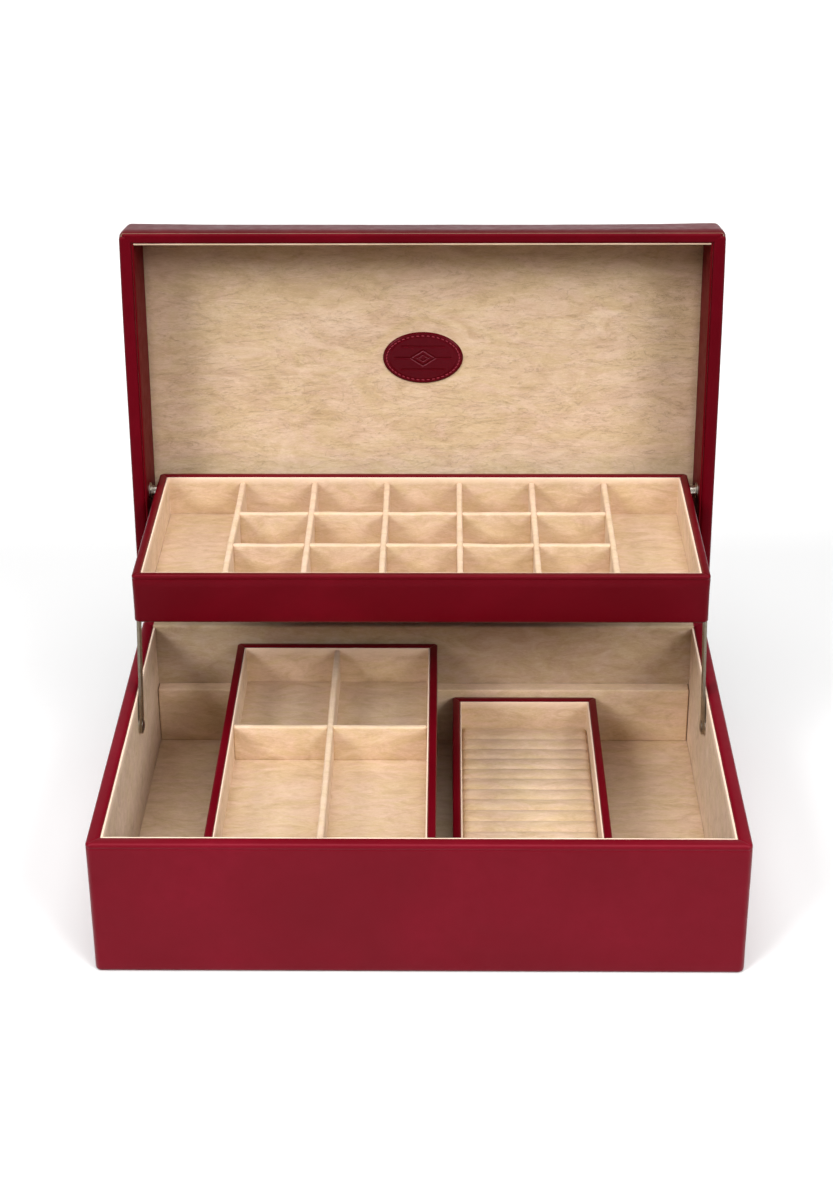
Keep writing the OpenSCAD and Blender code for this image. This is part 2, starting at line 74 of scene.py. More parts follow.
# ------------------------------------------------------------------ mesh help
def make(name, geos, mat, body, replaces=(), angle=38, lid=False, merge=0.002):
    """One object from a list of (verts in mm, faces)."""
    verts, faces = [], []
    for v, f in geos:
        base = len(verts)
        verts += [Vector(p) * MM for p in v]
        faces += [[i + base for i in q] for q in f]
    me = bpy.data.meshes.new(name)
    me.from_pydata(verts, [], faces)
    bm = bmesh.new()
    bm.from_mesh(me)
    if merge:
        bmesh.ops.remove_doubles(bm, verts=bm.verts, dist=merge * MM)
    bmesh.ops.recalc_face_normals(bm, faces=bm.faces)
    bm.to_mesh(me)
    bm.free()
    if lid:
        me.transform(LID)
    me.polygons.foreach_set("use_smooth", [True] * len(me.polygons))
    me.set_sharp_from_angle(angle=math.radians(angle))
    me.update()
    ob = bpy.data.objects.new(name, me)
    bpy.context.scene.collection.objects.link(ob)
    me.materials.append(mat)
    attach(ob, body)
    if replaces:
        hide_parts(*replaces)
    return ob


def runs(length, step, ends=(0.5, 1.3, 2.6)):
    """Places along a straight run, closer together near both ends."""
    n = max(2, int(length / step))
    pts = [length * i / n for i in range(n + 1)]
    for e in ends:
        if e < length / 3:
            pts += [e, length - e]
    return sorted(set(round(p, 4) for p in pts))


def sweep(hw, hd, profile, step=5.0, nc=6, cx=0.0, cy=0.0, close=False):
    """A profile of (inset, z, corner radius) swept round a rectangle with round corners."""
    r0 = max(p[2] for p in profile)
    tx = [t / (2 * hw - 2 * r0) for t in runs(2 * hw - 2 * r0, step)]
    ty = [t / (2 * hd - 2 * r0) for t in runs(2 * hd - 2 * r0, step)]
    verts, rings = [], []
    for ins, z, rc in profile:
        w, d = hw - ins, hd - ins
        r = max(0.02, min(rc, w - 0.01, d - 0.01))
        ring = []
        sides = [
            ((-w + r, -d), (w - r, -d), tx, -90),
            ((w, -d + r), (w, d - r), ty, 0),
            ((w - r, d), (-w + r, d), tx, 90),
            ((-w, d - r), (-w, -d + r), ty, 180),
        ]
        corners = [(w - r, -d + r), (w - r, d - r), (-w + r, d - r), (-w + r, -d + r)]
        for k, (a, b, ts, ang) in enumerate(sides):
            for t in ts:
                ring.append((a[0] + (b[0] - a[0]) * t, a[1] + (b[1] - a[1]) * t))
            c = corners[k]
            for m in range(1, nc):
                q = math.radians(ang + 90.0 * m / nc)
                ring.append((c[0] + r * math.cos(q), c[1] + r * math.sin(q)))
        rings.append((len(verts), len(ring)))
        verts += [Vector((x + cx, y + cy, z)) for x, y in ring]
    faces = []
    for (a, n), (b, _) in zip(rings, rings[1:]):
        for k in range(n):
            l = (k + 1) % n
            faces.append([a + k, a + l, b + l, b + k])
    if close:
        a, n = rings[-1]
        b, _ = rings[0]
        for k in range(n):
            l = (k + 1) % n
            faces.append([a + k, a + l, b + l, b + k])
    return verts, faces


def slab(lo, hi, bev=0.4, seg=3, step=8.0, amp=0.0, freq=0.03, seed=0.0):
    """A board or pad with rounded edges and a slightly uneven surface, as verts and faces in mm."""
    lo, hi = Vector(lo), Vector(hi)
    size, mid = hi - lo, (hi + lo) / 2
    bm = bmesh.new()
    bmesh.ops.create_cube(bm, size=1.0)
    for v in bm.verts:
        v.co = Vector((v.co[i] * size[i] + mid[i] for i in range(3)))
    for ax in range(3):
        n = int(size[ax] / step)
        for k in range(1, n):
            p = Vector(mid)
            p[ax] = lo[ax] + size[ax] * k / n
            nor = Vector((0, 0, 0))
            nor[ax] = 1
            bmesh.ops.bisect_plane(bm, geom=bm.verts[:] + bm.edges[:] + bm.faces[:], plane_co=p, plane_no=nor)
    edges = [e for e in bm.edges if len(e.link_faces) == 2 and e.calc_face_angle() > 1.2]
    b = min(bev, 0.48 * min(size))
    bmesh.ops.bevel(bm, geom=edges, offset=b, segments=seg, profile=0.5, affect="EDGES", clamp_overlap=True)
    if amp:
        bm.normal_update()
        moves = []
        for v in bm.verts:
            q = v.co * freq + Vector((seed, seed * 1.7, seed * 0.6))
            moves.append(v.normal * (noise.noise(q) * 0.7 + noise.noise(q * 2.7) * 0.3) * amp)
        for v, m in zip(bm.verts, moves):
            v.co += m
    bm.verts.index_update()
    out = [v.co.copy() for v in bm.verts], [[v.index for v in f.verts] for f in bm.faces]
    bm.free()
    return out


def wobble(geo, amp, freq, seed=0.0, keep=None):
    """Pushes points in and out along their normals by smooth noise. keep(point) gives the share that moves."""
    verts, faces = geo
    nor = [Vector((0, 0, 0)) for _ in verts]
    for f in faces:
        a, b, c = verts[f[0]], verts[f[1]], verts[f[2]]
        n = (b - a).cross(c - a)
        for i in f:
            nor[i] += n
    out = []
    for v, n in zip(verts, nor):
        w = 1.0 if keep is None else keep(v)
        n = n.normalized() if n.length > 1e-12 else n
        q = v * freq + Vector((seed, -seed, seed * 2))
        out.append(v + n * amp * w * (noise.noise(q) * 0.75 + noise.noise(q * 3.1) * 0.25))
    return out, faces


def arc(r, n, start, end, cx, cz):
    """Profile points (inset, z) on an arc, in degrees."""
    pts = []
    for i in range(n + 1):
        t = math.radians(start + (end - start) * i / n)
        pts.append((cx + r * math.cos(t), cz + r * math.sin(t)))
    return pts


def lathe_x(x0, points, y, z, n=40, flip=1):
    """A turned piece on an axis along X: points are (distance from x0, radius). flip -1 runs towards -X."""
    verts, faces = [], []
    for d, r in points:
        for k in range(n):
            a = 2 * math.pi * k / n
            verts.append(Vector((x0 + flip * d, y + r * math.cos(a), z + r * math.sin(a))))
    m = len(points)
    for j in range(m - 1):
        for k in range(n):
            l = (k + 1) % n
            faces.append([j * n + k, j * n + l, (j + 1) * n + l, (j + 1) * n + k])
    faces.append(list(range(n)))
    faces.append([(m - 1) * n + k for k in range(n)][::-1])
    return verts, faces


def paint_edge_highlight(ob, z_lo, z_hi, lid=False, axis=2, sign=1, share=1.0):
    """A soft band of painted highlight towards the folded top edge of a suede piece, stored on its points."""
    at = ob.data.attributes.new("painted_highlight", "FLOAT", "POINT")
    vals = []
    for v in ob.data.vertices:
        p = (LID_INV @ v.co if lid else v.co) / MM
        t = (sign * p[axis] - z_lo) / max(1e-6, z_hi - z_lo)
        t = min(1.0, max(0.0, t))
        vals.append(share * t * t * (3 - 2 * t))
    at.data.foreach_set("value", vals)


# ------------------------------------------------------------------ materials
def node_mat(name):
    m = bpy.data.materials.new(name)
    m.use_nodes = True
    nt = m.node_tree
    nt.nodes.clear()
    out = nt.nodes.new("ShaderNodeOutputMaterial")
    bsdf = nt.nodes.new("ShaderNodeBsdfPrincipled")
    nt.links.new(bsdf.outputs[0], out.inputs["Surface"])
    return m, nt, bsdf


def tex_coord(nt, scale=(1, 1, 1), rot=(0, 0, 0), loc=(0, 0, 0)):
    tc = nt.nodes.new("ShaderNodeTexCoord")
    mp = nt.nodes.new("ShaderNodeMapping")
    mp.inputs["Scale"].default_value = scale
    mp.inputs["Rotation"].default_value = rot
    mp.inputs["Location"].default_value = loc
    nt.links.new(tc.outputs["Object"], mp.inputs["Vector"])
    return mp.outputs["Vector"]


def noise_tex(nt, vec, scale, detail=4.0, rough=0.55, distort=0.0):
    n = nt.nodes.new("ShaderNodeTexNoise")
    n.inputs["Scale"].default_value = scale
    n.inputs["Detail"].default_value = detail
    n.inputs["Roughness"].default_value = rough
    n.inputs["Distortion"].default_value = distort
    nt.links.new(vec, n.inputs["Vector"])
    return n.outputs["Fac"]


def voronoi(nt, vec, scale, feature="DISTANCE_TO_EDGE", rand=1.0):
    n = nt.nodes.new("ShaderNodeTexVoronoi")
    n.feature = feature
    n.inputs["Scale"].default_value = scale
    n.inputs["Randomness"].default_value = rand
    nt.links.new(vec, n.inputs["Vector"])
    return n.outputs["Distance"]


def ramp(nt, fac, stops):
    n = nt.nodes.new("ShaderNodeValToRGB")
    el = n.color_ramp.elements
    while len(el) > 1:
        el.remove(el[-1])
    el[0].position, el[0].color = stops[0][0], stops[0][1]
    for p, c in stops[1:]:
        e = el.new(p)
        e.color = c
    nt.links.new(fac, n.inputs["Fac"])
    return n.outputs["Color"]


def remap(nt, fac, a, b, c, d):
    n = nt.nodes.new("ShaderNodeMapRange")
    for i, v in zip(("From Min", "From Max", "To Min", "To Max"), (a, b, c, d)):
        n.inputs[i].default_value = v
    nt.links.new(fac, n.inputs["Value"])
    return n.outputs["Result"]


def mix(nt, fac, a, b, kind="MIX"):
    n = nt.nodes.new("ShaderNodeMix")
    n.data_type = "RGBA"
    n.blend_type = kind
    for sock, val in ((n.inputs[0], fac), (n.inputs[6], a), (n.inputs[7], b)):
        if isinstance(val, (int, float)):
            sock.default_value = val
        elif isinstance(val, tuple):
            sock.default_value = val
        else:
            nt.links.new(val, sock)
    return n.outputs[2]


def math_node(nt, op, a, b=None):
    n = nt.nodes.new("ShaderNodeMath")
    n.operation = op
    for s, v in zip(n.inputs, (a, b)):
        if v is None:
            continue
        if isinstance(v, (int, float)):
            s.default_value = v
        else:
            nt.links.new(v, s)
    return n.outputs[0]


def bump(nt, heights, bsdf):
    """Chains (height socket, strength, distance) into the shader's normal."""
    last = None
    for h, strength, dist in heights:
        b = nt.nodes.new("ShaderNodeBump")
        b.inputs["Strength"].default_value = strength
        b.inputs["Distance"].default_value = dist
        nt.links.new(h, b.inputs["Height"])
        if last is not None:
            nt.links.new(last, b.inputs["Normal"])
        last = b.outputs["Normal"]
    nt.links.new(last, bsdf.inputs["Normal"])


def rgb(r, g, b):
    return (r, g, b, 1.0)


def leather_mat(name, dark, mid, light, rough=(0.34, 0.46), coat=0.12, grain=900.0, spec=0.38, polish=0.28):
    m, nt, bsdf = node_mat(name)
    v = tex_coord(nt)
    broad = noise_tex(nt, v, 14.0, 3.0, 0.5, 0.4)
    fine = noise_tex(nt, v, 160.0, 5.0, 0.6)
    cells = voronoi(nt, v, grain)
    cells2 = voronoi(nt, v, grain * 0.37, rand=0.9)
    pores = noise_tex(nt, v, grain * 2.2, 2.0, 0.5)
    tone = ramp(nt, broad, [(0.28, dark), (0.5, mid), (0.74, light)])
    tone = mix(nt, remap(nt, fine, 0.35, 0.7, 0.0, 0.35), tone, dark)
    valley = remap(nt, cells, 0.0, 0.05, 0.22, 0.0)
    tone = mix(nt, valley, tone, tuple(c * 0.55 for c in dark[:3]) + (1.0,))
    # slightly paler on sharp outer edges
    geo = nt.nodes.new("ShaderNodeNewGeometry")
    edge = remap(nt, geo.outputs["Pointiness"], 0.505, 0.56, 0.0, 0.4)
    tone = mix(nt, edge, tone, light)
    nt.links.new(tone, bsdf.inputs["Base Color"])
    nt.links.new(remap(nt, fine, 0.3, 0.7, rough[0], rough[1]), bsdf.inputs["Roughness"])
    bsdf.inputs["Specular IOR Level"].default_value = spec
    bsdf.inputs["Specular Tint"].default_value = (1.0, 0.30, 0.40, 1.0)
    bsdf.inputs["Coat Weight"].default_value = coat
    bsdf.inputs["Coat Roughness"].default_value = polish
    bump(
        nt,
        [
            (broad, 0.10, 0.0025),
            (remap(nt, cells2, 0.0, 0.30, 0.0, 1.0), 0.035, 0.00010),
            (remap(nt, cells, 0.0, 0.20, 0.0, 1.0), 0.16, 0.00008),
            (fine, 0.10, 0.00030),
            (pores, 0.08, 0.00004),
        ],
        bsdf,
    )
    return m


def suede_mat(name, flow=(0.0, 0.0, 0.0), crease=1.0, size=1.0, shade=1.0, seed=0.0, wave=1.0):
    """Brushed suede: the nap lies in long patches that lean pink or straw, with short pressed creases along the flow,
    darkened in colour as painted shade.
    """
    m, nt, bsdf = node_mat(name)

    def c(r, g, b):
        return rgb(r * shade, g * shade, b * shade)

    loc = (seed, seed * 0.7, seed * 1.3)
    v = tex_coord(nt, (1, 1, 1), flow, loc)
    long_ = tex_coord(nt, (1.0, 2.3, 2.3), flow, loc)
    longer = tex_coord(nt, (1.0, 4.2, 4.2), (flow[0] + 0.10, flow[1] + 0.12, flow[2] + 0.12), loc)
    hairs = tex_coord(nt, (1.0, 7.0, 7.0), (flow[0] - 0.08, flow[1] - 0.10, flow[2] - 0.10), loc)
    patch = noise_tex(nt, long_, 46.0 / size, 6.0, 0.66, 1.3)
    hue = noise_tex(nt, long_, 27.0 / size, 5.0, 0.6, 1.8)
    mid = noise_tex(nt, longer, 95.0 / size, 6.0, 0.68, 1.0)
    hair = noise_tex(nt, hairs, 430.0, 5.0, 0.68, 0.4)
    nap = noise_tex(nt, v, 2100.0, 3.0, 0.6)
    warp = noise_tex(nt, longer, 21.0 / size, 9.0, 0.60, 1.6)
    warp2 = noise_tex(nt, long_, 15.0 / size, 8.0, 0.58, 2.4)
    pink = ramp(nt, patch, [(0.28, c(0.600, 0.395, 0.255)), (0.50, c(0.745, 0.530, 0.375)), (0.74, c(0.845, 0.640, 0.480))])
    straw = ramp(nt, patch, [(0.28, c(0.560, 0.385, 0.210)), (0.50, c(0.700, 0.515, 0.305)), (0.74, c(0.810, 0.625, 0.420))])
    tone = mix(nt, remap(nt, hue, 0.40, 0.60, 0.0, 1.0), pink, straw)
    tone = mix(nt, remap(nt, mid, 0.42, 0.70, 0.0, 0.42 * wave), tone, c(0.520, 0.355, 0.205))
    tone = mix(nt, remap(nt, mid, 0.50, 0.30, 0.0, 0.30 * wave), tone, c(0.880, 0.690, 0.520))
    tone = mix(nt, remap(nt, hair, 0.50, 0.70, 0.0, 0.40), tone, c(0.540, 0.375, 0.225))
    tone = mix(nt, remap(nt, hair, 0.50, 0.32, 0.0, 0.32), tone, c(0.890, 0.700, 0.540))

    def crease_line(w, level, width):
        d = math_node(nt, "ABSOLUTE", math_node(nt, "SUBTRACT", w, level))
        return remap(nt, d, 0.0, width, 1.0, 0.0)

    lines = math_node(nt, "MAXIMUM", crease_line(warp, 0.5, 0.010), crease_line(warp2, 0.46, 0.006))
    lines = math_node(nt, "MAXIMUM", lines, crease_line(warp, 0.60, 0.008))
    lines = math_node(nt, "MULTIPLY", lines, remap(nt, mid, 0.36, 0.60, 0.0, 1.0))
    # darkening along the crease lines is painted shade
    tone = mix(nt, math_node(nt, "MULTIPLY", lines, 0.34 * crease), tone, c(0.400, 0.265, 0.150))
    tone = mix(nt, remap(nt, nap, 0.35, 0.70, 0.0, 0.14), tone, c(0.520, 0.365, 0.225))
    # painted highlight along the folded top edges, read from the stored band
    at = nt.nodes.new("ShaderNodeAttribute")
    at.attribute_name = "painted_highlight"
    tone = mix(nt, remap(nt, at.outputs["Fac"], 0.0, 1.0, 0.0, 0.85), tone, rgb(0.93, 0.72, 0.56))
    nt.links.new(tone, bsdf.inputs["Base Color"])
    nt.links.new(remap(nt, patch, 0.3, 0.7, 0.86, 0.97), bsdf.inputs["Roughness"])
    bsdf.inputs["Specular IOR Level"].default_value = 0.15
    bsdf.inputs["Sheen Weight"].default_value = 0.15
    bsdf.inputs["Sheen Roughness"].default_value = 0.45
    bump(
        nt,
        [
            (patch, 0.30, 0.0012),
            (mid, 0.32 * wave, 0.0006),
            (math_node(nt, "SUBTRACT", 1.0, lines), 0.45 * crease, 0.00035),
            (hair, 0.35, 0.00018),
            (nap, 0.35, 0.00007),
        ],
        bsdf,
    )
    return m


def metal_mat(name, base, dark, rough=(0.18, 0.42), scratch=(1.0, 18.0, 1.0), wear=0.5):
    m, nt, bsdf = node_mat(name)
    v = tex_coord(nt)
    vs = tex_coord(nt, scratch)
    broad = noise_tex(nt, v, 160.0, 5.0, 0.6, 0.6)
    lines = noise_tex(nt, vs, 900.0, 3.0, 0.6)
    spots = noise_tex(nt, v, 700.0, 4.0, 0.65)
    tone = mix(nt, remap(nt, broad, 0.38, 0.68, 0.0, wear), base, dark)
    tone = mix(nt, remap(nt, spots, 0.60, 0.75, 0.0, 0.5), tone, dark)
    nt.links.new(tone, bsdf.inputs["Base Color"])
    bsdf.inputs["Metallic"].default_value = 1.0
    nt.links.new(remap(nt, broad, 0.3, 0.7, rough[0], rough[1]), bsdf.inputs["Roughness"])
    bump(nt, [(lines, 0.12, 0.00005), (spots, 0.08, 0.00004)], bsdf)
    return m


def fibre_mat(name, a, b, scale=300.0, rough=0.9, strength=0.3):
    m, nt, bsdf = node_mat(name)
    v = tex_coord(nt)
    vs = tex_coord(nt, (1.0, 1.0, 4.0))
    broad = noise_tex(nt, v, 30.0, 4.0, 0.6)
    fib = noise_tex(nt, vs, scale, 5.0, 0.7, 0.5)
    fleck = noise_tex(nt, v, scale * 3.0, 2.0, 0.5)
    tone = mix(nt, fib, a, b)
    tone = mix(nt, remap(nt, broad, 0.3, 0.7, 0.0, 0.35), tone, a)
    tone = mix(nt, remap(nt, fleck, 0.58, 0.72, 0.0, 0.4), tone, tuple(c * 0.6 for c in a[:3]) + (1.0,))
    nt.links.new(tone, bsdf.inputs["Base Color"])
    nt.links.new(remap(nt, fib, 0.3, 0.7, rough - 0.08, min(1.0, rough + 0.08)), bsdf.inputs["Roughness"])
    bsdf.inputs["Specular IOR Level"].default_value = 0.2
    bump(nt, [(fib, strength, 0.0003), (fleck, strength * 0.6, 0.0001)], bsdf)
    return m


LEATHER = leather_mat("red_leather", rgb(0.142, 0.0008, 0.0062), rgb(0.170, 0.0014, 0.0090), rgb(0.200, 0.0026, 0.0130), coat=0.04)
# The four leathers below are darker copies of red_leather: their darker base colours are painted shade for parts that
# sit in less light (lift tray, lid, lower trays, lid facings); their gloss settings are their finish.
LEATHER_LIFT_SHADED = leather_mat("red_leather_lift_painted_shade", rgb(0.095, 0.0003, 0.0032), rgb(0.116, 0.0006, 0.0048), rgb(0.148, 0.0016, 0.0080), (0.30, 0.42), 0.03, spec=0.24)
LEATHER_LID_SHADED = leather_mat("red_leather_lid_painted_shade", rgb(0.086, 0.0003, 0.0028), rgb(0.106, 0.0005, 0.0041), rgb(0.138, 0.0013, 0.0069), (0.30, 0.42), 0.0, spec=0.15)
LEATHER_TRAYS_SHADED = leather_mat("red_leather_trays_painted_shade", rgb(0.095, 0.0003, 0.0032), rgb(0.120, 0.0006, 0.0048), rgb(0.150, 0.0016, 0.0080), (0.28, 0.40), 0.04, spec=0.28)
LEATHER_FACING_SHADED = leather_mat("red_leather_facing_painted_shade", rgb(0.090, 0.0006, 0.0030), rgb(0.110, 0.0010, 0.0042), rgb(0.130, 0.0016, 0.0056), (0.5, 0.6), 0.0, spec=0.10)
LEATHER_BADGE = leather_mat("badge_leather", rgb(0.062, 0.0002, 0.0024), rgb(0.088, 0.0004, 0.0040), rgb(0.14, 0.0012, 0.007), (0.20, 0.28), 0.05, 1500.0, 0.17, 0.10)
THREAD = fibre_mat("waxed_thread", rgb(0.24, 0.015, 0.03), rgb(0.42, 0.05, 0.08), 2600.0, 0.55, 0.5)
HALF = math.pi / 2
SUEDE = suede_mat("suede", crease=0.45, seed=1.3, wave=0.45)
# suede for the base's back lining, darkened as painted shade for the shadow under the raised tray
SUEDE_BACK_SHADED = suede_mat("suede_back_painted_shade", crease=0.45, seed=1.3, shade=0.68, wave=0.45)
SUEDE_SIDE = suede_mat("suede_along_sides", flow=(0.0, 0.0, HALF), crease=0.45, seed=5.9, wave=0.45)
SUEDE_LID = suede_mat("suede_lid", flow=(0.0, 0.30, 0.0), crease=1.1, size=1.25, seed=3.1, shade=0.97, wave=0.70)
# suede for the lid's end linings, darkened as painted shade for the shade they sit in under the lid's walls
SUEDE_LID_END_SHADED = suede_mat("suede_lid_ends_painted_shade", crease=0.5, shade=0.80, seed=4.4)
SUEDE_CELL = suede_mat("suede_trays", flow=(0.0, 0.0, 0.12), crease=0.32, size=0.95, seed=7.7, shade=0.94, wave=0.38)
SUEDE_CELL_SIDE = suede_mat("suede_tray_sides", flow=(0.0, 0.0, HALF), crease=0.32, size=0.95, seed=9.1, shade=0.94, wave=0.38)
BOARD = fibre_mat("fibreboard", rgb(0.30, 0.22, 0.14), rgb(0.48, 0.38, 0.26))
FOAM = fibre_mat("foam", rgb(0.80, 0.76, 0.66), rgb(0.90, 0.87, 0.78), 1200.0)
FELT = fibre_mat("felt", rgb(0.055, 0.012, 0.016), rgb(0.11, 0.025, 0.032), 1400.0, 0.95, 0.6)
NICKEL = metal_mat("worn_nickel", rgb(0.62, 0.58, 0.50), rgb(0.30, 0.26, 0.20), (0.20, 0.42))
ARM_METAL = metal_mat("dull_steel", rgb(0.36, 0.31, 0.24), rgb(0.16, 0.13, 0.09), (0.24, 0.46))
BRASS = metal_mat("satin_brass", rgb(0.70, 0.55, 0.30), rgb(0.38, 0.27, 0.13), (0.22, 0.45))


def repaint(nodes, mat, bevel=0.0):
    for n in nodes:
        ob = frame["nodes"][n]
        ob.data.materials.clear()
        ob.data.materials.append(mat)
        if bevel:
            md = ob.modifiers.new("edge", "BEVEL")
            md.width = bevel * MM
            md.segments = 2
            md.limit_method = "ANGLE"
            md.angle_limit = math.radians(40)
            md.harden_normals = False


# ------------------------------------------------------------------ base
blo, bhi = box_mm("base_leather")
HX, HY, BH = bhi.x, bhi.y, bhi.z
SKIN = HX - box_mm("base_right_board")[1].x
RIM = HX - box_mm("base_right_board")[0].x          # leather rim, outside to lining
base_profile = [
    (13.9, 0.9, 0.3), (13.9, 0.35, 0.3), (13.2, 0.22, 0.4), (6.0, 0.2, 1.5), (2.2, 0.2, 2.4), (1.2, 0.3, 2.7), (0.5, 0.75, 2.9), (0.12, 1.5, 3.0), (0.0, 2.6, 3.0),
    (0.0, 8.0, 3.0), (0.0, 16.0, 3.0), (0.0, 26.0, 3.0), (0.0, 36.0, 3.0), (0.0, 46.0, 3.0), (0.0, 56.0, 3.0), (0.0, 65.0, 3.0),
    (0.0, BH - 3.6, 3.0), (0.02, BH - 3.05, 3.0), (0.20, BH - 2.75, 3.0), (0.02, BH - 2.45, 3.0), (0.0, BH - 1.9, 3.0),
    (0.10, BH - 1.1, 2.9), (0.35, BH - 0.55, 2.8), (0.85, BH - 0.14, 2.5), (1.6, BH + 0.02, 2.2), (3.0, BH + 0.10, 1.6), (4.4, BH + 0.06, 1.0),
    (RIM - 1.1, BH - 0.05, 0.6), (RIM - 0.45, BH - 0.35, 0.4), (RIM - 0.1, BH - 0.9, 0.3), (RIM - 0.02, BH - 1.6, 0.25), (RIM - 0.02, BH - 4.0, 0.2),
]


def mitre(geo, hw, hd, ztop, cx=0.0, cy=0.0, depth=0.3, width=0.5, inner=7.0):
    """A fine fold line across each corner of a leather rim."""
    verts, faces = geo
    out = []
    for v in verts:
        ax, ay = hw - abs(v.x - cx), hd - abs(v.y - cy)
        near = max(0.0, 1 - abs(ax - ay) / width)
        if near > 0 and 0 <= ax < inner and v.z > ztop - 2.2:
            v = v - Vector((0, 0, depth * near))
        out.append(v)
    return out, faces


geo = sweep(HX, HY, base_profile, step=4.0, nc=8)
geo = wobble(geo, 0.28, 0.018, 1.3, lambda p: min(1.0, max(0.0, (p.z - 3) / 12)) * min(1.0, max(0.15, (BH - p.z) / 12)))
geo = mitre(geo, HX, HY, BH)
make("base_leather_cover", [geo], LEATHER, "base", ["base_leather"], 50)

def back_lining(lo, hi, thick, seed):
    """The back lining: a suede sheet that turns over the rim with a soft edge, run along the width."""
    y0, y1, yr, z0, zt = lo.y, lo.y + thick, hi.y, lo.z, hi.z
    prof = [(y0, z0), (y0, z0 + 18), (y0, z0 + 36), (y0, z0 + 55), (y0, zt - 6.0), (y0, zt - 2.0)]
    prof += [(y0 + 1.3 - 1.3 * math.cos(math.radians(a)), zt - 1.3 + 1.3 * math.sin(math.radians(a))) for a in (10, 25, 40, 55, 70, 90)]
    prof += [(y0 + 3.2, zt + 0.02), (yr - 2.0, zt), (yr - 0.5, zt - 0.03), (yr, zt - 0.15), (yr - 0.05, zt - 0.28), (y1 + 0.3, zt - 0.28), (y1, zt - 0.6), (y1, z0)]
    n, m = 70, len(prof)
    verts, faces = [], []
    for i in range(n + 1):
        x = lo.x + (hi.x - lo.x) * i / n
        for k, (y, z) in enumerate(prof):
            q = Vector((x * 0.045, z * 0.045, seed))
            d = 0.24 * (noise.noise(q) * 0.7 + noise.noise(q * 2.7) * 0.3) if 0 < k < 12 else 0.0
            ragged = 0.5 * noise.noise(Vector((x * 0.05, seed, 2.0))) if 14 <= k <= 16 else 0.0
            verts.append(Vector((x, y - d + ragged, z + (0.10 * noise.noise(q * 1.7) if 9 <= k <= 15 else 0.0))))
    for i in range(n):
        for k in range(m):
            l = (k + 1) % m
            faces.append([i * m + k, i * m + l, (i + 1) * m + l, (i + 1) * m + k])
    faces.append([k for k in range(m)][::-1])
    faces.append([n * m + k for k in range(m)])
    return verts, faces


for node, seed in (("base_front_lining", 1), ("base_back_lining", 2), ("base_left_lining", 3), ("base_right_lining", 4)):
    lo, hi = box_mm(node)
    if node == "base_back_lining":
        # the back lining takes the darkened suede: painted shade under the raised tray
        ob = make(node + "_suede", [back_lining(lo, hi, 1.2, 2.0)], SUEDE_BACK_SHADED, "base", [node])
        continue
    mat = SUEDE if "front" in node or "back" in node else SUEDE_SIDE
    ob = make(node + "_suede", [slab(lo, hi, 0.38, 3, 6.0, 0.28, 0.045, seed)], mat, "base", [node])
    paint_edge_highlight(ob, hi.z - 1.3, hi.z - 0.25)
lo, hi = box_mm("base_floor_suede")
ob = make("base_floor_cover", [slab(lo, hi, 0.3, 2, 6.0, 0.30, 0.035, 5)], SUEDE, "base", ["base_floor_suede"])
for node, seed in (("front_ledge", 6), ("back_ledge", 7)):
    lo, hi = box_mm(node)
    gap = Vector((0.45, 0, 0))
    ob = make(node + "_suede", [slab(lo + gap, hi - gap, 0.9, 4, 6.0, 0.25, 0.04, seed)], SUEDE, "base", [node])
    paint_edge_highlight(ob, hi.z - 1.4, hi.z + 0.6, share=0.2)
lo, hi = box_mm("base_underlay")
make("base_felt", [slab(lo + Vector((0, 0, 0.1)), hi, 0.3, 2, 12.0, 0.08, 0.05, 8)], FELT, "base", ["base_underlay"])

# ------------------------------------------------------------------ lid
llo, lhi = lid_box("lid_leather")
LX = lhi.x
LCY, LHD = (llo.y + lhi.y) / 2, (lhi.y - llo.y) / 2
LZ0, LZ1 = llo.z, lhi.z
plo, phi = lid_box("lid_suede_panel")
PANEL = plo.z
SH = 16.0                                            # the lid's shoulder and the lean of its front wall, as in the CAD
LEAN = 3.0
lrim = LX - lid_box("lid_right_board")[0].x
lid_profile = [
    (lrim + 0.9, LZ0 + 5.0, 0.2), (lrim + 0.1, LZ0 + 3.0, 0.2), (lrim, LZ0 + 1.4, 0.3), (lrim - 0.2, LZ0 + 0.7, 0.4), (lrim - 0.7, LZ0 + 0.22, 0.7),
    (lrim - 1.6, LZ0 + 0.0, 1.0), (2.6, LZ0 - 0.05, 1.6), (1.6, LZ0 + 0.02, 2.0), (0.85, LZ0 + 0.2, 2.4), (0.35, LZ0 + 0.65, 2.7), (0.06, LZ0 + 1.4, 3.0), (0.0, LZ0 + 2.6, 3.0),
    (0.0, 4.4, 3.0), (0.0, 6.4, 3.0), (0.0, 8.6, 3.0), (0.0, 11.0, 3.0), (0.0, 15.0, 3.1), (0.0, 20.0, 3.2), (0.0, 24.5, 3.3), (0.0, LZ1 - SH, 3.5),
]


def shoulder(i, n=16):
    """Inset, depth and plan radius at step i of n round the lid's soft shoulder."""
    t = math.radians(90.0 * i / n)
    return SH * (1 - math.cos(t)), LZ1 - SH + SH * math.sin(t) - 0.5 * (i / n) ** 2, 3.5 + 6.0 * (i / n) ** 2


lid_profile += [shoulder(i) for i in range(1, 17)]
for ins, dz, rc in ((21, -0.38, 9.5), (28, -0.26, 9.5), (38, -0.14, 9), (55, -0.05, 8), (75, 0.0, 7), (95, 0.0, 5), (LHD - 6, 0.0, 2), (LHD - 0.01, 0.0, 0.02)):
    lid_profile.append((ins, LZ1 + dz, rc))


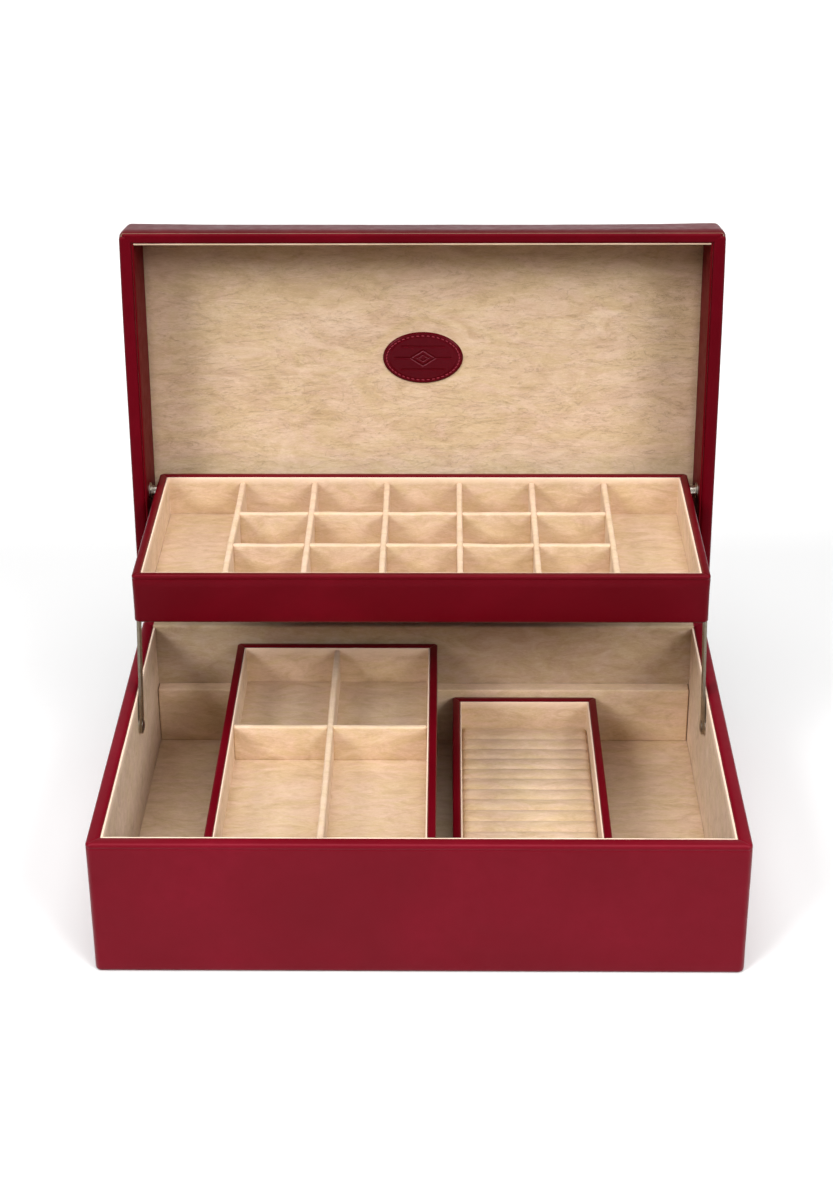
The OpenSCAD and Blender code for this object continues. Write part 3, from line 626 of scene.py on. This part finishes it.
def lean(p):
    """The front wall of the lid leans in towards its top, so everything above the rim is drawn in a little."""
    t = min(1.0, max(0.0, (p.z - LZ0) / (LZ1 - SH * 0.75 - LZ0)))
    far = (lhi.y - p.y) / (lhi.y - llo.y)
    dish = 0.7 * t * max(0.0, 1 - abs(p.x / LX) ** 5)
    ay = p.y - llo.y
    roll = 1.7 * max(0.0, 1 - max(0.0, p.z) / 10.0) ** 2 * max(0.0, 1 - ay / lrim) ** 1.3
    side = min(1.0, max(0.0, 1 - (LX - abs(p.x)) / 10.0))
    bow = 0.35 * side * math.sin(math.pi * min(1.0, max(0.0, far)) ** 2) * (1 if p.x > 0 else -1)
    return Vector((p.x + bow, p.y + (LEAN * t + dish) * max(0.0, far) + roll, p.z))


geo = sweep(LX, LHD, lid_profile, step=4.0, nc=10, cy=LCY)
geo = wobble(geo, 0.40, 0.014, 5.1, lambda p: min(1.0, max(0.05, (p.z - 3) / 14)))
geo = ([lean(v) for v in geo[0]], geo[1])


def lid_corner(v):
    """Leather drawn together at each outer corner of the rim: a small notch, with a short fold across the rim from it."""
    ax, ay = LX - abs(v.x), LHD - abs(v.y - LCY)
    if v.z > LZ0 + 4.5 or ay > 8 or ax > 9:
        return v
    out = v.copy()
    d = math.sqrt((ay - 2.9) ** 2 + (max(0.0, v.z - LZ0 - 1.0) * 0.6) ** 2)
    if ax < 3.0 and d < 1.5:
        out.x += (-1 if v.x > 0 else 1) * (1 - d / 1.5) * 1.5
    g = abs(ay - 2.9 - 0.10 * ax)
    if g < 0.7 and v.z < LZ0 + 1.2:
        out.z += 0.45 * (1 - g / 0.7) * (1 - ax / 9)
    return out


geo = ([lid_corner(v) for v in geo[0]], geo[1])
make("lid_leather_cover", [geo], LEATHER_LID_SHADED, "lid", ["lid_leather"], 50, lid=True)

fx = LX - lrim                                       # inside face of the side boards
elo, ehi = lid_box("lid_end_linings")
facings = []
for s in (-1, 1):
    a, b = (fx - 1.0, fx) if s > 0 else (-fx, -fx + 1.0)
    facings.append(slab((a, elo.y, LZ0 + 0.5), (b, ehi.y, PANEL + 0.2), 0.35, 3, 6.0, 0.12, 0.04, 9 + s))
make("lid_side_leather", facings, LEATHER_FACING_SHADED, "lid", (), lid=True)

# the foam and the board under the top leather, with the same soft corners
def under_top(z0, z1, gap):
    """A closed layer between two depths of the lid, gap millimetres inside the leather."""
    def row(z, extra=0.0):
        d = z - (LZ1 - SH)
        ins = SH - math.sqrt(max(0.0, SH * SH - min(SH, max(0.0, d)) ** 2))
        k = min(1.0, max(0.0, d / SH))
        return ins + gap + extra, z, 3.5 + 4.0 * k * k
    n = 4
    rows = [row(z0 + (z1 - z0) * i / n) for i in range(n + 1)]
    first = [(LHD - 0.01, z0, 0.02), (LHD * 0.5, z0, 2.0), (rows[0][0] + 0.8, z0, 3.0)]
    last = [(rows[-1][0] + 0.8, z1 + 0.02, 3.0), (LHD * 0.5, z1 + 0.02, 2.0), (LHD - 0.01, z1 + 0.02, 0.02)]
    v, f = sweep(LX, LHD, first + rows + last, step=10.0, nc=5, cy=LCY)
    return [lean(p) for p in v], f


plo2, phi2 = lid_box("lid_padding")
blo2, bhi2 = lid_box("lid_top_board")
make("lid_foam", [under_top(plo2.z + 0.05, LZ1 - 1.75, 1.35)], FOAM, "lid", ["lid_padding"], lid=True)
make("lid_top_card", [under_top(blo2.z, bhi2.z, 1.45)], BOARD, "lid", ["lid_top_board"], lid=True)
ends = []
for y0, y1, s in ((elo.y, elo.y + 1.0, 11), (ehi.y - 1.0, ehi.y, 12)):
    ends.append(slab((elo.x, y0, elo.z), (ehi.x, y1, PANEL + 0.2), 0.38, 3, 6.0, 0.2, 0.04, s))
ob = make("lid_end_suede", ends, SUEDE_LID_END_SHADED, "lid", ["lid_end_linings"], lid=True)
paint_edge_highlight(ob, -(elo.z + 1.4), -(elo.z + 0.2), lid=True, sign=-1, share=0.3)


def panel_geo():
    """The suede panel of the lid: a sheet tucked in at its edges, with soft pulls and pressed creases."""
    x0, x1 = -fx + 0.9, fx - 0.9
    y0, y1 = elo.y + 0.9, ehi.y - 0.9
    nx, ny = 250, 176
    verts, faces = [], []
    ca, sa = math.cos(0.30), math.sin(0.30)
    for j in range(ny + 1):
        for i in range(nx + 1):
            x, y = x0 + (x1 - x0) * i / nx, y0 + (y1 - y0) * j / ny
            e = min(x - x0, x1 - x, y - y0, y1 - y)
            tuck = max(0.0, 1 - e / 5.0) ** 2 * 0.9
            u, w = x * ca - y * sa, x * sa + y * ca
            q = Vector((u * 0.012, w * 0.03, 3.3))
            q += Vector((noise.noise(q * 1.4), noise.noise(q * 1.4 + Vector((9, 2, 1))), 0)) * 0.7
            h = noise.noise(q) * 0.40 + noise.noise(q * 2.3) * 0.22
            near = min(1.0, e / 10)
            for k, (f, depth, thin) in enumerate(((1.5, 0.34, 26.0), (2.7, 0.24, 18.0), (4.6, 0.15, 12.0))):
                r = abs(noise.noise(q * f + Vector((k * 5.1, 2.0, k))))
                cut = max(0.0, 1 - r * thin)
                mask = max(0.0, noise.noise(q * 1.1 + Vector((k * 3.7, 8.0, 1.0))) + 0.25)
                h -= depth * cut * min(1.0, mask * 1.6) * near
            verts.append(Vector((x, y, PANEL - 0.25 - h * 0.55 + tuck)))
    for j in range(ny):
        for i in range(nx):
            a = j * (nx + 1) + i
            faces.append([a, a + nx + 1, a + nx + 2, a + 1])
    n = len(verts)
    rim = [i for i in range(nx)] + [j * (nx + 1) + nx for j in range(ny)] + [ny * (nx + 1) + i for i in range(nx, 0, -1)] + [j * (nx + 1) for j in range(ny, 0, -1)]
    for k in rim:
        v = verts[k].copy()
        v.z = phi.z - 0.2
        verts.append(v)
    m = len(rim)
    for k in range(m):
        l = (k + 1) % m
        faces.append([rim[k], rim[l], n + l, n + k])
    faces.append([n + k for k in range(m)])
    return verts, faces


make("lid_panel_suede", [panel_geo()], SUEDE_LID, "lid", ["lid_suede_panel"], 50, lid=True)

# oval badge with a rolled edge, a sewn border and a plain embossed lozenge
glo, ghi = lid_box("badge")
GX, GY = (ghi.x - glo.x) / 2, (ghi.y - glo.y) / 2
GC = Vector(((glo.x + ghi.x) / 2, (glo.y + ghi.y) / 2, 0))


def ridge(d, w):
    return math.exp(-((d / w) ** 2))


def badge_height(x, y, f):
    h = 1.05 + 0.25 * (1 - f * f)
    edge_mm = (1 - f) * min(GX, GY)
    if edge_mm < 1.0:
        h -= (1 - edge_mm) ** 2 * 0.85
    h -= 0.22 * ridge(edge_mm - 2.1, 0.45)
    d = abs(x) / 7.2 + abs(y) / 4.6
    h -= 0.42 * ridge((d - 1) * 4.0, 0.50)
    h -= 0.36 * ridge((abs(x) / 3.0 + abs(y) / 2.0 - 1) * 2.4, 0.55)
    for sx in (-1, 1):
        u = max(0.0, abs(x - sx * 12.2) - 3.8)
        h -= 0.40 * ridge(math.hypot(u, y), 0.42)
    for sy in (-1, 1):
        u = max(0.0, abs(x) - 12.5)
        h -= 0.30 * ridge(math.hypot(u, y - sy * 7.0), 0.36)
    return h


def badge_geo():
    nr, na = 96, 240
    verts = [Vector((GC.x, GC.y, PANEL - 0.3 - badge_height(0, 0, 0)))]
    faces = []
    for r in range(1, nr + 1):
        f = (r / nr) ** 0.85
        for k in range(na):
            a = 2 * math.pi * k / na
            x, y = GX * f * math.cos(a), GY * f * math.sin(a)
            verts.append(Vector((GC.x + x, GC.y + y, PANEL - 0.3 - badge_height(x, y, f))))
    for k in range(na):
        verts.append(Vector((GC.x + GX * math.cos(2 * math.pi * k / na), GC.y + GY * math.sin(2 * math.pi * k / na), PANEL + 0.3)))
    for k in range(na):
        l = (k + 1) % na
        faces.append([0, 1 + l, 1 + k])
        for r in range(nr):
            a, b = 1 + r * na, 1 + (r + 1) * na
            faces.append([a + k, a + l, b + l, b + k])
    faces.append([1 + nr * na + k for k in range(na)])
    return verts, faces


make("badge_patch", [badge_geo()], LEATHER_BADGE, "lid", ["badge"], 60, lid=True)


def capsule(p, d, up, length, rw, rh, n=8, m=4):
    """A short flattened thread lying along d."""
    side = up.cross(d).normalized()
    verts, faces = [], []
    for j in range(2 * m + 2):
        if j <= m:
            t = math.pi / 2 * (1 - j / m)
            along, rad = -length / 2 + rw - rw * math.sin(t), math.cos(t)
        else:
            t = math.pi / 2 * ((j - m - 1) / m)
            along, rad = length / 2 - rw + rw * math.sin(t), math.cos(t)
        rad = max(rad, 0.02)
        for k in range(n):
            a = 2 * math.pi * k / n
            verts.append(p + d * along + side * rw * rad * math.cos(a) + up * rh * rad * math.sin(a))
    for j in range(2 * m + 1):
        for k in range(n):
            l = (k + 1) % n
            faces.append([j * n + k, j * n + l, (j + 1) * n + l, (j + 1) * n + k])
    faces.append(list(range(n))[::-1])
    faces.append([(2 * m + 1) * n + k for k in range(n)])
    return verts, faces


stitches = []
NST = 44
for i in range(NST):
    a = 2 * math.pi * i / NST
    x, y = (GX - 2.1) * math.cos(a), (GY - 2.1) * math.sin(a)
    d = Vector((-(GX - 2.1) * math.sin(a), (GY - 2.1) * math.cos(a), 0)).normalized()
    d = (Matrix.Rotation(math.radians(7), 3, "Z") @ d).normalized()
    f = math.sqrt((x / GX) ** 2 + (y / GY) ** 2)
    p = Vector((GC.x + x, GC.y + y, PANEL - 0.3 - badge_height(x, y, f) - 0.04))
    stitches.append(capsule(p, d, Vector((0, 0, -1)), 1.7, 0.30, 0.22))
make("badge_thread", stitches, THREAD, "lid", ["badge_stitching"], 70, lid=True, merge=0)


# ------------------------------------------------------------------ trays
def tray_cover(name, node, body, rim, r_up=1.0, r_down=1.6, rc=2.2, seed=0.0, amp=0.2, mat=None):
    lo, hi = box_mm(node)
    hw, hd = (hi.x - lo.x) / 2, (hi.y - lo.y) / 2
    cx, cy = (hi.x + lo.x) / 2, (hi.y + lo.y) / 2
    z0, z1 = lo.z, hi.z
    m = min(hw, hd)
    p = [(m - 0.01, z0 + 0.25, 0.02), (m * 0.6, z0 + 0.2, 0.5), (8.0, z0 + 0.12, 1.0), (r_down + 1.2, z0, rc * 0.6)]
    for x, z in arc(r_down, 6, 270, 180, r_down, z0 + r_down):
        p.append((x, z, rc))
    h = z1 - z0
    for k in range(1, 6):
        p.append((0.0, z0 + r_down + (h - r_down - r_up - 2.2) * k / 6, rc))
    p += [(0.0, z1 - r_up - 1.7, rc), (0.14, z1 - r_up - 1.4, rc), (0.0, z1 - r_up - 1.1, rc)]
    for x, z in arc(r_up, 5, 180, 90, r_up, z1 - r_up):
        p.append((x, z, rc * 0.9))
    p += [(rim * 0.55, z1 + 0.06, rc * 0.5), (rim - 0.8, z1 - 0.02, 0.5), (rim - 0.3, z1 - 0.3, 0.3), (rim - 0.04, z1 - 0.8, 0.2), (rim - 0.02, z1 - 3.5, 0.15)]
    geo = sweep(hw, hd, p, step=4.0, nc=6, cx=cx, cy=cy)
    geo = wobble(geo, amp, 0.02, seed, lambda q: min(1.0, max(0.1, (z1 - q.z) / 8)) * min(1.0, max(0.2, (q.z - z0) / 6)))
    geo = mitre(geo, hw, hd, z1, cx, cy, 0.18, 0.4, rim)
    return make(name, [geo], mat or LEATHER_TRAYS_SHADED, body, [node], 50)


def lining_ring(lo, hi, t, step=5.0, seed=0.0, amp=0.18):
    """Suede round the inside walls of a tray, folded over at the top."""
    hw, hd = (hi.x - lo.x) / 2, (hi.y - lo.y) / 2
    cx, cy = (hi.x + lo.x) / 2, (hi.y + lo.y) / 2
    z0, z1 = lo.z, hi.z
    p = [(0.02, z1 - 3.0, 0.4), (0.02, z1 - 0.45, 0.4), (0.14, z1 - 0.12, 0.4), (0.35, z1, 0.35), (t - 0.35, z1, 0.3), (t - 0.12, z1 - 0.14, 0.3), (t, z1 - 0.5, 0.3)]
    n = max(3, int((z1 - z0) / 4))
    for k in range(1, n + 1):
        p.append((t, z1 - 0.5 - (z1 - 0.5 - z0) * k / n, 0.3))
    geo = sweep(hw, hd, p, step=step, nc=3, cx=cx, cy=cy)
    return wobble(geo, amp, 0.06, seed, lambda q: 1.0 if q.z < z1 - 0.6 else 0.35)


def divider(lo, hi, seed):
    """A card divider wrapped in suede, rounded along its top and a little bowed, as hand work is."""
    verts, faces = slab(lo, hi, min(1.15, 0.36 * min(hi[0] - lo[0], hi[1] - lo[1])), 4, 4.0, 0.26, 0.07, seed)
    ax = 0 if hi[0] - lo[0] > hi[1] - lo[1] else 1
    a, b = lo[ax], hi[ax]
    out = []
    for v in verts:
        t = (v[ax] - a) / (b - a)
        k = max(0.0, min(1.0, (v.z - lo[2]) / (hi[2] - lo[2])))
        bow = math.sin(math.pi * t) * noise.noise(Vector((seed * 3.1, 0.5, t * 1.3))) * 1.1 * k
        sag = -0.35 * k * (0.5 + noise.noise(Vector((t * 2.2, seed * 1.9, 4.0)))) * math.sin(math.pi * min(1.0, max(0.0, t)))
        w = v.copy()
        w[1 - ax] += bow * 0.5
        w.z += sag
        out.append(w)
    return out, faces


LT, LB = "lift_tray", "lift_tray_leather"
tray_cover("lift_tray_cover", LB, "lift_tray", 4.4, 1.1, 1.8, 2.2, 21.0, 0.22, LEATHER_LIFT_SHADED)
lo, hi = box_mm("lift_tray_lining")
floor_lo, floor_hi = box_mm("lift_tray_floor_suede")
ob = make("lift_tray_wall_suede", [lining_ring(lo, hi, 1.0, seed=22.0)], SUEDE_CELL, "lift_tray", ["lift_tray_lining"], 50)
paint_edge_highlight(ob, hi.z - 1.2, hi.z - 0.2)
make("lift_tray_floor_cover", [slab(floor_lo, floor_hi, 0.3, 2, 5.0, 0.35, 0.05, 23)], SUEDE_CELL, "lift_tray", ["lift_tray_floor_suede"])

dlo, dhi = box_mm("lift_tray_long_dividers")
clo, chi = box_mm("lift_tray_cross_dividers")
pts = [v.co / MM for v in frame["nodes"]["lift_tray_long_dividers"].data.vertices]
xs = sorted(set(round(p.x, 2) for p in pts))
pairs = [(xs[i], xs[i + 1]) for i in range(0, len(xs), 2)]
longs = [divider((a, dlo.y - 0.2, dlo.z - 0.4), (b, dhi.y + 0.2, dhi.z), 30 + i) for i, (a, b) in enumerate(pairs)]
ob = make("lift_tray_long_divider_suede", longs, SUEDE_CELL_SIDE, "lift_tray", ["lift_tray_long_dividers"], 60)
paint_edge_highlight(ob, dhi.z - 1.6, dhi.z - 0.2, share=0.22)
ys = sorted(set(round(v.co.y / MM, 2) for v in frame["nodes"]["lift_tray_cross_dividers"].data.vertices))
crosses = []
for i in range(len(pairs) - 1):
    for j in range(0, len(ys), 2):
        crosses.append(divider((pairs[i][1] - 0.5, ys[j], clo.z - 0.4), (pairs[i + 1][0] + 0.5, ys[j + 1], chi.z - 0.25), 40 + i * 3 + j))
ob = make("lift_tray_cross_divider_suede", crosses, SUEDE_CELL, "lift_tray", ["lift_tray_cross_dividers"], 60)
paint_edge_highlight(ob, chi.z - 1.8, chi.z - 0.4, share=0.22)

for key, seed in (("slide_tray", 50.0), ("ring_tray", 60.0)):
    tray_cover(key + "_cover", key + "_leather", key, 4.4, 0.9, 1.2, 2.0, seed, 0.16)
    lo, hi = box_mm(key + "_lining")
    geos = [lining_ring(lo, hi, 0.9, seed=seed + 1)]
    geos.append(slab((lo.x + 0.3, lo.y + 0.3, lo.z), (hi.x - 0.3, hi.y - 0.3, lo.z + 0.9), 0.3, 2, 5.0, 0.3, 0.05, seed + 2))
    ob = make(key + "_suede", geos, SUEDE_CELL, key, [key + "_lining"], 50)
    paint_edge_highlight(ob, hi.z - 1.2, hi.z - 0.2)

slo, shi = box_mm("slide_tray_dividers")
v = [w.co / MM for w in frame["nodes"]["slide_tray_dividers"].data.vertices]
mid = (slo.x + shi.x) / 2
half = min(abs(p.x - mid) for p in v)
cys = sorted(set(round(p.y, 2) for p in v if slo.y + 5 < p.y < shi.y - 5))
geos = [divider((mid - half, slo.y - 0.2, slo.z - 0.4), (mid + half, shi.y + 0.2, shi.z), 71)]
for s in (-1, 1):
    a, b = (mid + half - 0.4, shi.x + 0.2) if s > 0 else (slo.x - 0.2, mid - half + 0.4)
    geos.append(divider((a, cys[0], slo.z - 0.4), (b, cys[-1], shi.z - 0.2), 72 + s))
ob = make("slide_tray_divider_suede", geos, SUEDE_CELL, "slide_tray", ["slide_tray_dividers"], 60)
paint_edge_highlight(ob, shi.z - 1.7, shi.z - 0.3, share=0.22)


def roll_pad():
    """Foam rolls side by side under one suede cloth, drawn down at the ends."""
    lo, hi = box_mm("ring_roll_pad")
    pts = [p.co / MM for p in frame["nodes"]["ring_roll_pad"].data.vertices]
    n_roll, pitch = 17, 10.6
    top, low = hi.z - 0.2, hi.z - 2.3
    x0, x1, y0, y1 = lo.x + 0.1, hi.x - 0.1, lo.y + 0.1, hi.y - 0.1
    cy = (y0 + y1) / 2
    nx, ny = 46, 17 * 14
    verts, faces = [], []
    for j in range(ny + 1):
        y = y0 + (y1 - y0) * j / ny
        u = (y - cy) / pitch + n_roll / 2
        if 0 <= u <= n_roll:
            ph = (u % 1.0) - 0.5
            prof = math.sqrt(max(0.0, 1 - (abs(ph) * 2) ** 2.4))
        else:
            prof = max(0.0, 0.35 - min(abs(u), abs(u - n_roll)) * 0.8)
        for i in range(nx + 1):
            x = x0 + (x1 - x0) * i / nx
            e = min(x - x0, x1 - x)
            tuck = max(0.0, 1 - e / 3.2) ** 2
            w = noise.noise(Vector((x * 0.05, y * 0.05, 2.0))) * 0.35 + noise.noise(Vector((x * 0.16, y * 0.16, 6.0))) * 0.12
            z = low + (top - low) * prof + w - tuck * 1.8
            verts.append(Vector((x, y, min(z, hi.z))))
    for j in range(ny):
        for i in range(nx):
            a = j * (nx + 1) + i
            faces.append([a, a + 1, a + nx + 2, a + nx + 1])
    n = len(verts)
    rim = [i for i in range(nx)] + [j * (nx + 1) + nx for j in range(ny)] + [ny * (nx + 1) + i for i in range(nx, 0, -1)] + [j * (nx + 1) for j in range(ny, 0, -1)]
    for k in rim:
        q = verts[k].copy()
        q.z = lo.z
        verts.append(q)
    m = len(rim)
    for k in range(m):
        l = (k + 1) % m
        faces.append([rim[k], n + k, n + l, rim[l]])
    faces.append([n + k for k in range(m)][::-1])
    return verts, faces


pad = make("ring_rolls", [roll_pad()], SUEDE_CELL, "ring_tray", ["ring_roll_pad"], 70)

# ------------------------------------------------------------------ metalwork
arm_lo, arm_hi = box_mm("right_arm")
B = Vector(JOINTS["right_arm_pivot"]["pos_m"]) / MM
wall = box_mm("base_right_lining")[0].x
rivets = []
for s in (-1, 1):
    x_in = arm_lo.x - 1.0
    dome = [(0.0, 0.25), (0.03, 1.0), (0.12, 1.9), (0.3, 2.7), (0.55, 3.3), (0.8, 3.6), (0.9, 3.6), (0.9, 1.5), (wall - x_in + 2.5, 1.5)]
    rivets.append(lathe_x(s * x_in, dome, B.y, B.z, 48, s))
make("arm_rivets", rivets, NICKEL, "base", ["arm_pivot_rivets"], 30, merge=0)

P1 = Vector(JOINTS["lift_tray_hanger"]["pos_m"]) / MM
hlo, hhi = box_mm("tray_hanger_pins")
lift_x = box_mm("lift_tray_leather")[1].x
inner = fx - 1.0
pins = []
for s in (-1, 1):
    a = lift_x - 3.6
    shape = [(0.0, 1.2), (0.3, 1.5), (4.0, 1.5), (4.0, 2.6), (4.3, 3.0), (5.6, 3.0), (5.75, 2.7), (6.1, 2.7), (6.25, 3.0),
             (inner - a - 1.0, 3.0), (inner - a - 0.9, 4.1), (inner - a - 0.6, 4.5), (inner - a, 4.5), (inner - a, 1.5), (inner - a + 3.5, 1.5)]
    pins.append(lathe_x(s * a, shape, P1.y, P1.z, 48, s))
make("hanger_pins", pins, NICKEL, "lid", ["tray_hanger_pins"], 30, merge=0)

flo, fhi = box_mm("lift_tray_front_pins")
fy, fz = (flo.y + fhi.y) / 2, (flo.z + fhi.z) / 2
fp = []
for s in (-1, 1):
    a = lift_x - 3.6
    shape = [(0.0, 1.2), (0.3, 1.5), (3.6, 1.5), (3.6, 3.0), (3.7, 3.2), (3.8, 3.2), (3.8, 1.5), (fhi.x - a - 0.15, 1.5), (fhi.x - a, 1.25)]
    fp.append(lathe_x(s * a, shape, fy, fz, 48, s))
make("lift_tray_pins", fp, NICKEL, "lift_tray", ["lift_tray_front_pins"], 30, merge=0)

repaint(["left_arm", "right_arm"], ARM_METAL, 0.22)
repaint(["arm_washers"], NICKEL, 0.12)
repaint(["base_hinge_leaves", "lid_hinge_leaves", "hinge_pins", "base_hinge_screws", "lid_hinge_screws"], BRASS, 0.15)
cards = [n for n in frame["nodes"] if n.endswith("board") or n.endswith("boards") or n in ("lift_tray_floor", "slide_tray_floor", "ring_tray_floor")]
repaint([n for n in cards if n != "lid_top_board"], BOARD, 0.6)

# ------------------------------------------------------------------ stage
fm, nt, bsdf = node_mat("floor_paper")
vv = tex_coord(nt)
nt.links.new(ramp(nt, noise_tex(nt, vv, 3.0, 2.0), [(0.3, rgb(0.90, 0.90, 0.90)), (0.7, rgb(0.93, 0.93, 0.93))]), bsdf.inputs["Base Color"])
bsdf.inputs["Roughness"].default_value = 0.75
me = bpy.data.meshes.new("floor")
S = 30.0
me.from_pydata([(-S, -S, 0), (S, -S, 0), (S, S, 0), (-S, S, 0)], [], [(0, 1, 2, 3)])
floor = bpy.data.objects.new("floor", me)
bpy.context.scene.collection.objects.link(floor)
me.materials.append(fm)
floor.visible_diffuse = False                        # a table that throws little light back up, so the shadows keep their depth

world = bpy.data.worlds.new("studio")
bpy.context.scene.world = world
world.use_nodes = True
bg = world.node_tree.nodes["Background"]
bg.inputs[0].default_value = (1.0, 1.0, 1.0, 1.0)
bg.inputs[1].default_value = 0.17


def area(name, loc, target, size, power, color=(1, 1, 1)):
    li = bpy.data.lights.new(name, "AREA")
    li.shape = "RECTANGLE"
    li.size, li.size_y = size
    li.energy = power
    li.color = color
    ob = bpy.data.objects.new(name, li)
    bpy.context.scene.collection.objects.link(ob)
    ob.location = loc
    d = Vector(target) - Vector(loc)
    ob.rotation_mode = "QUATERNION"
    ob.rotation_quaternion = d.to_track_quat("-Z", "Y")
    return ob


def sky(name, power, spread, way):
    """A broad, even light from far away, like a large diffuser."""
    li = bpy.data.lights.new(name, "SUN")
    li.energy = power
    li.angle = math.radians(spread)
    ob = bpy.data.objects.new(name, li)
    bpy.context.scene.collection.objects.link(ob)
    ob.rotation_mode = "QUATERNION"
    ob.rotation_quaternion = Vector(way).to_track_quat("-Z", "Y")


sky("key_left", 2.05, 24, (0.72, 0.68, -0.68))
sky("key_right", 1.85, 28, (-0.72, 0.68, -0.64))
sky("overhead", 1.65, 50, (0.0, 0.12, -1.0))
area("backdrop_glow", (0.0, 2.4, 0.85), (0, 0, 0.45), (3.4, 1.7), 4.5)
area("softbox", (0.35, -1.5, 1.3), (0, 0.05, 0.1), (1.4, 0.9), 3.4, (1.0, 0.985, 0.96))
bpy.context.scene.view_settings.view_transform = "Standard"

# ------------------------------------------------------------------ camera
C = Vector((14.23, -1005.73, 693.74)) * MM
p, w, r = (math.radians(a) for a in (26.093, -0.85, -0.33))
fwd = Vector((math.sin(w) * math.cos(p), math.cos(w) * math.cos(p), -math.sin(p)))
rgt = Vector((math.cos(w), -math.sin(w), 0))
up = rgt.cross(fwd)
rgt2 = rgt * math.cos(r) + up * math.sin(r)
up2 = up * math.cos(r) - rgt * math.sin(r)
cam_data = bpy.data.cameras.new("camera")
cam = bpy.data.objects.new("camera", cam_data)
bpy.context.scene.collection.objects.link(cam)
cam.matrix_world = Matrix(((rgt2.x, up2.x, -fwd.x, C.x), (rgt2.y, up2.y, -fwd.y, C.y), (rgt2.z, up2.z, -fwd.z, C.z), (0, 0, 0, 1)))
cam_data.sensor_fit = "AUTO"
cam_data.sensor_width = 36.0
cam_data.lens = 2158.87 * 36.0 / 1200.0
cam_data.shift_x = (416.5 - 418.52) / 1200.0
cam_data.shift_y = (520.0 - 600.0) / 1200.0
cam_data.clip_start, cam_data.clip_end = 0.02, 100.0
bpy.context.scene.camera = cam
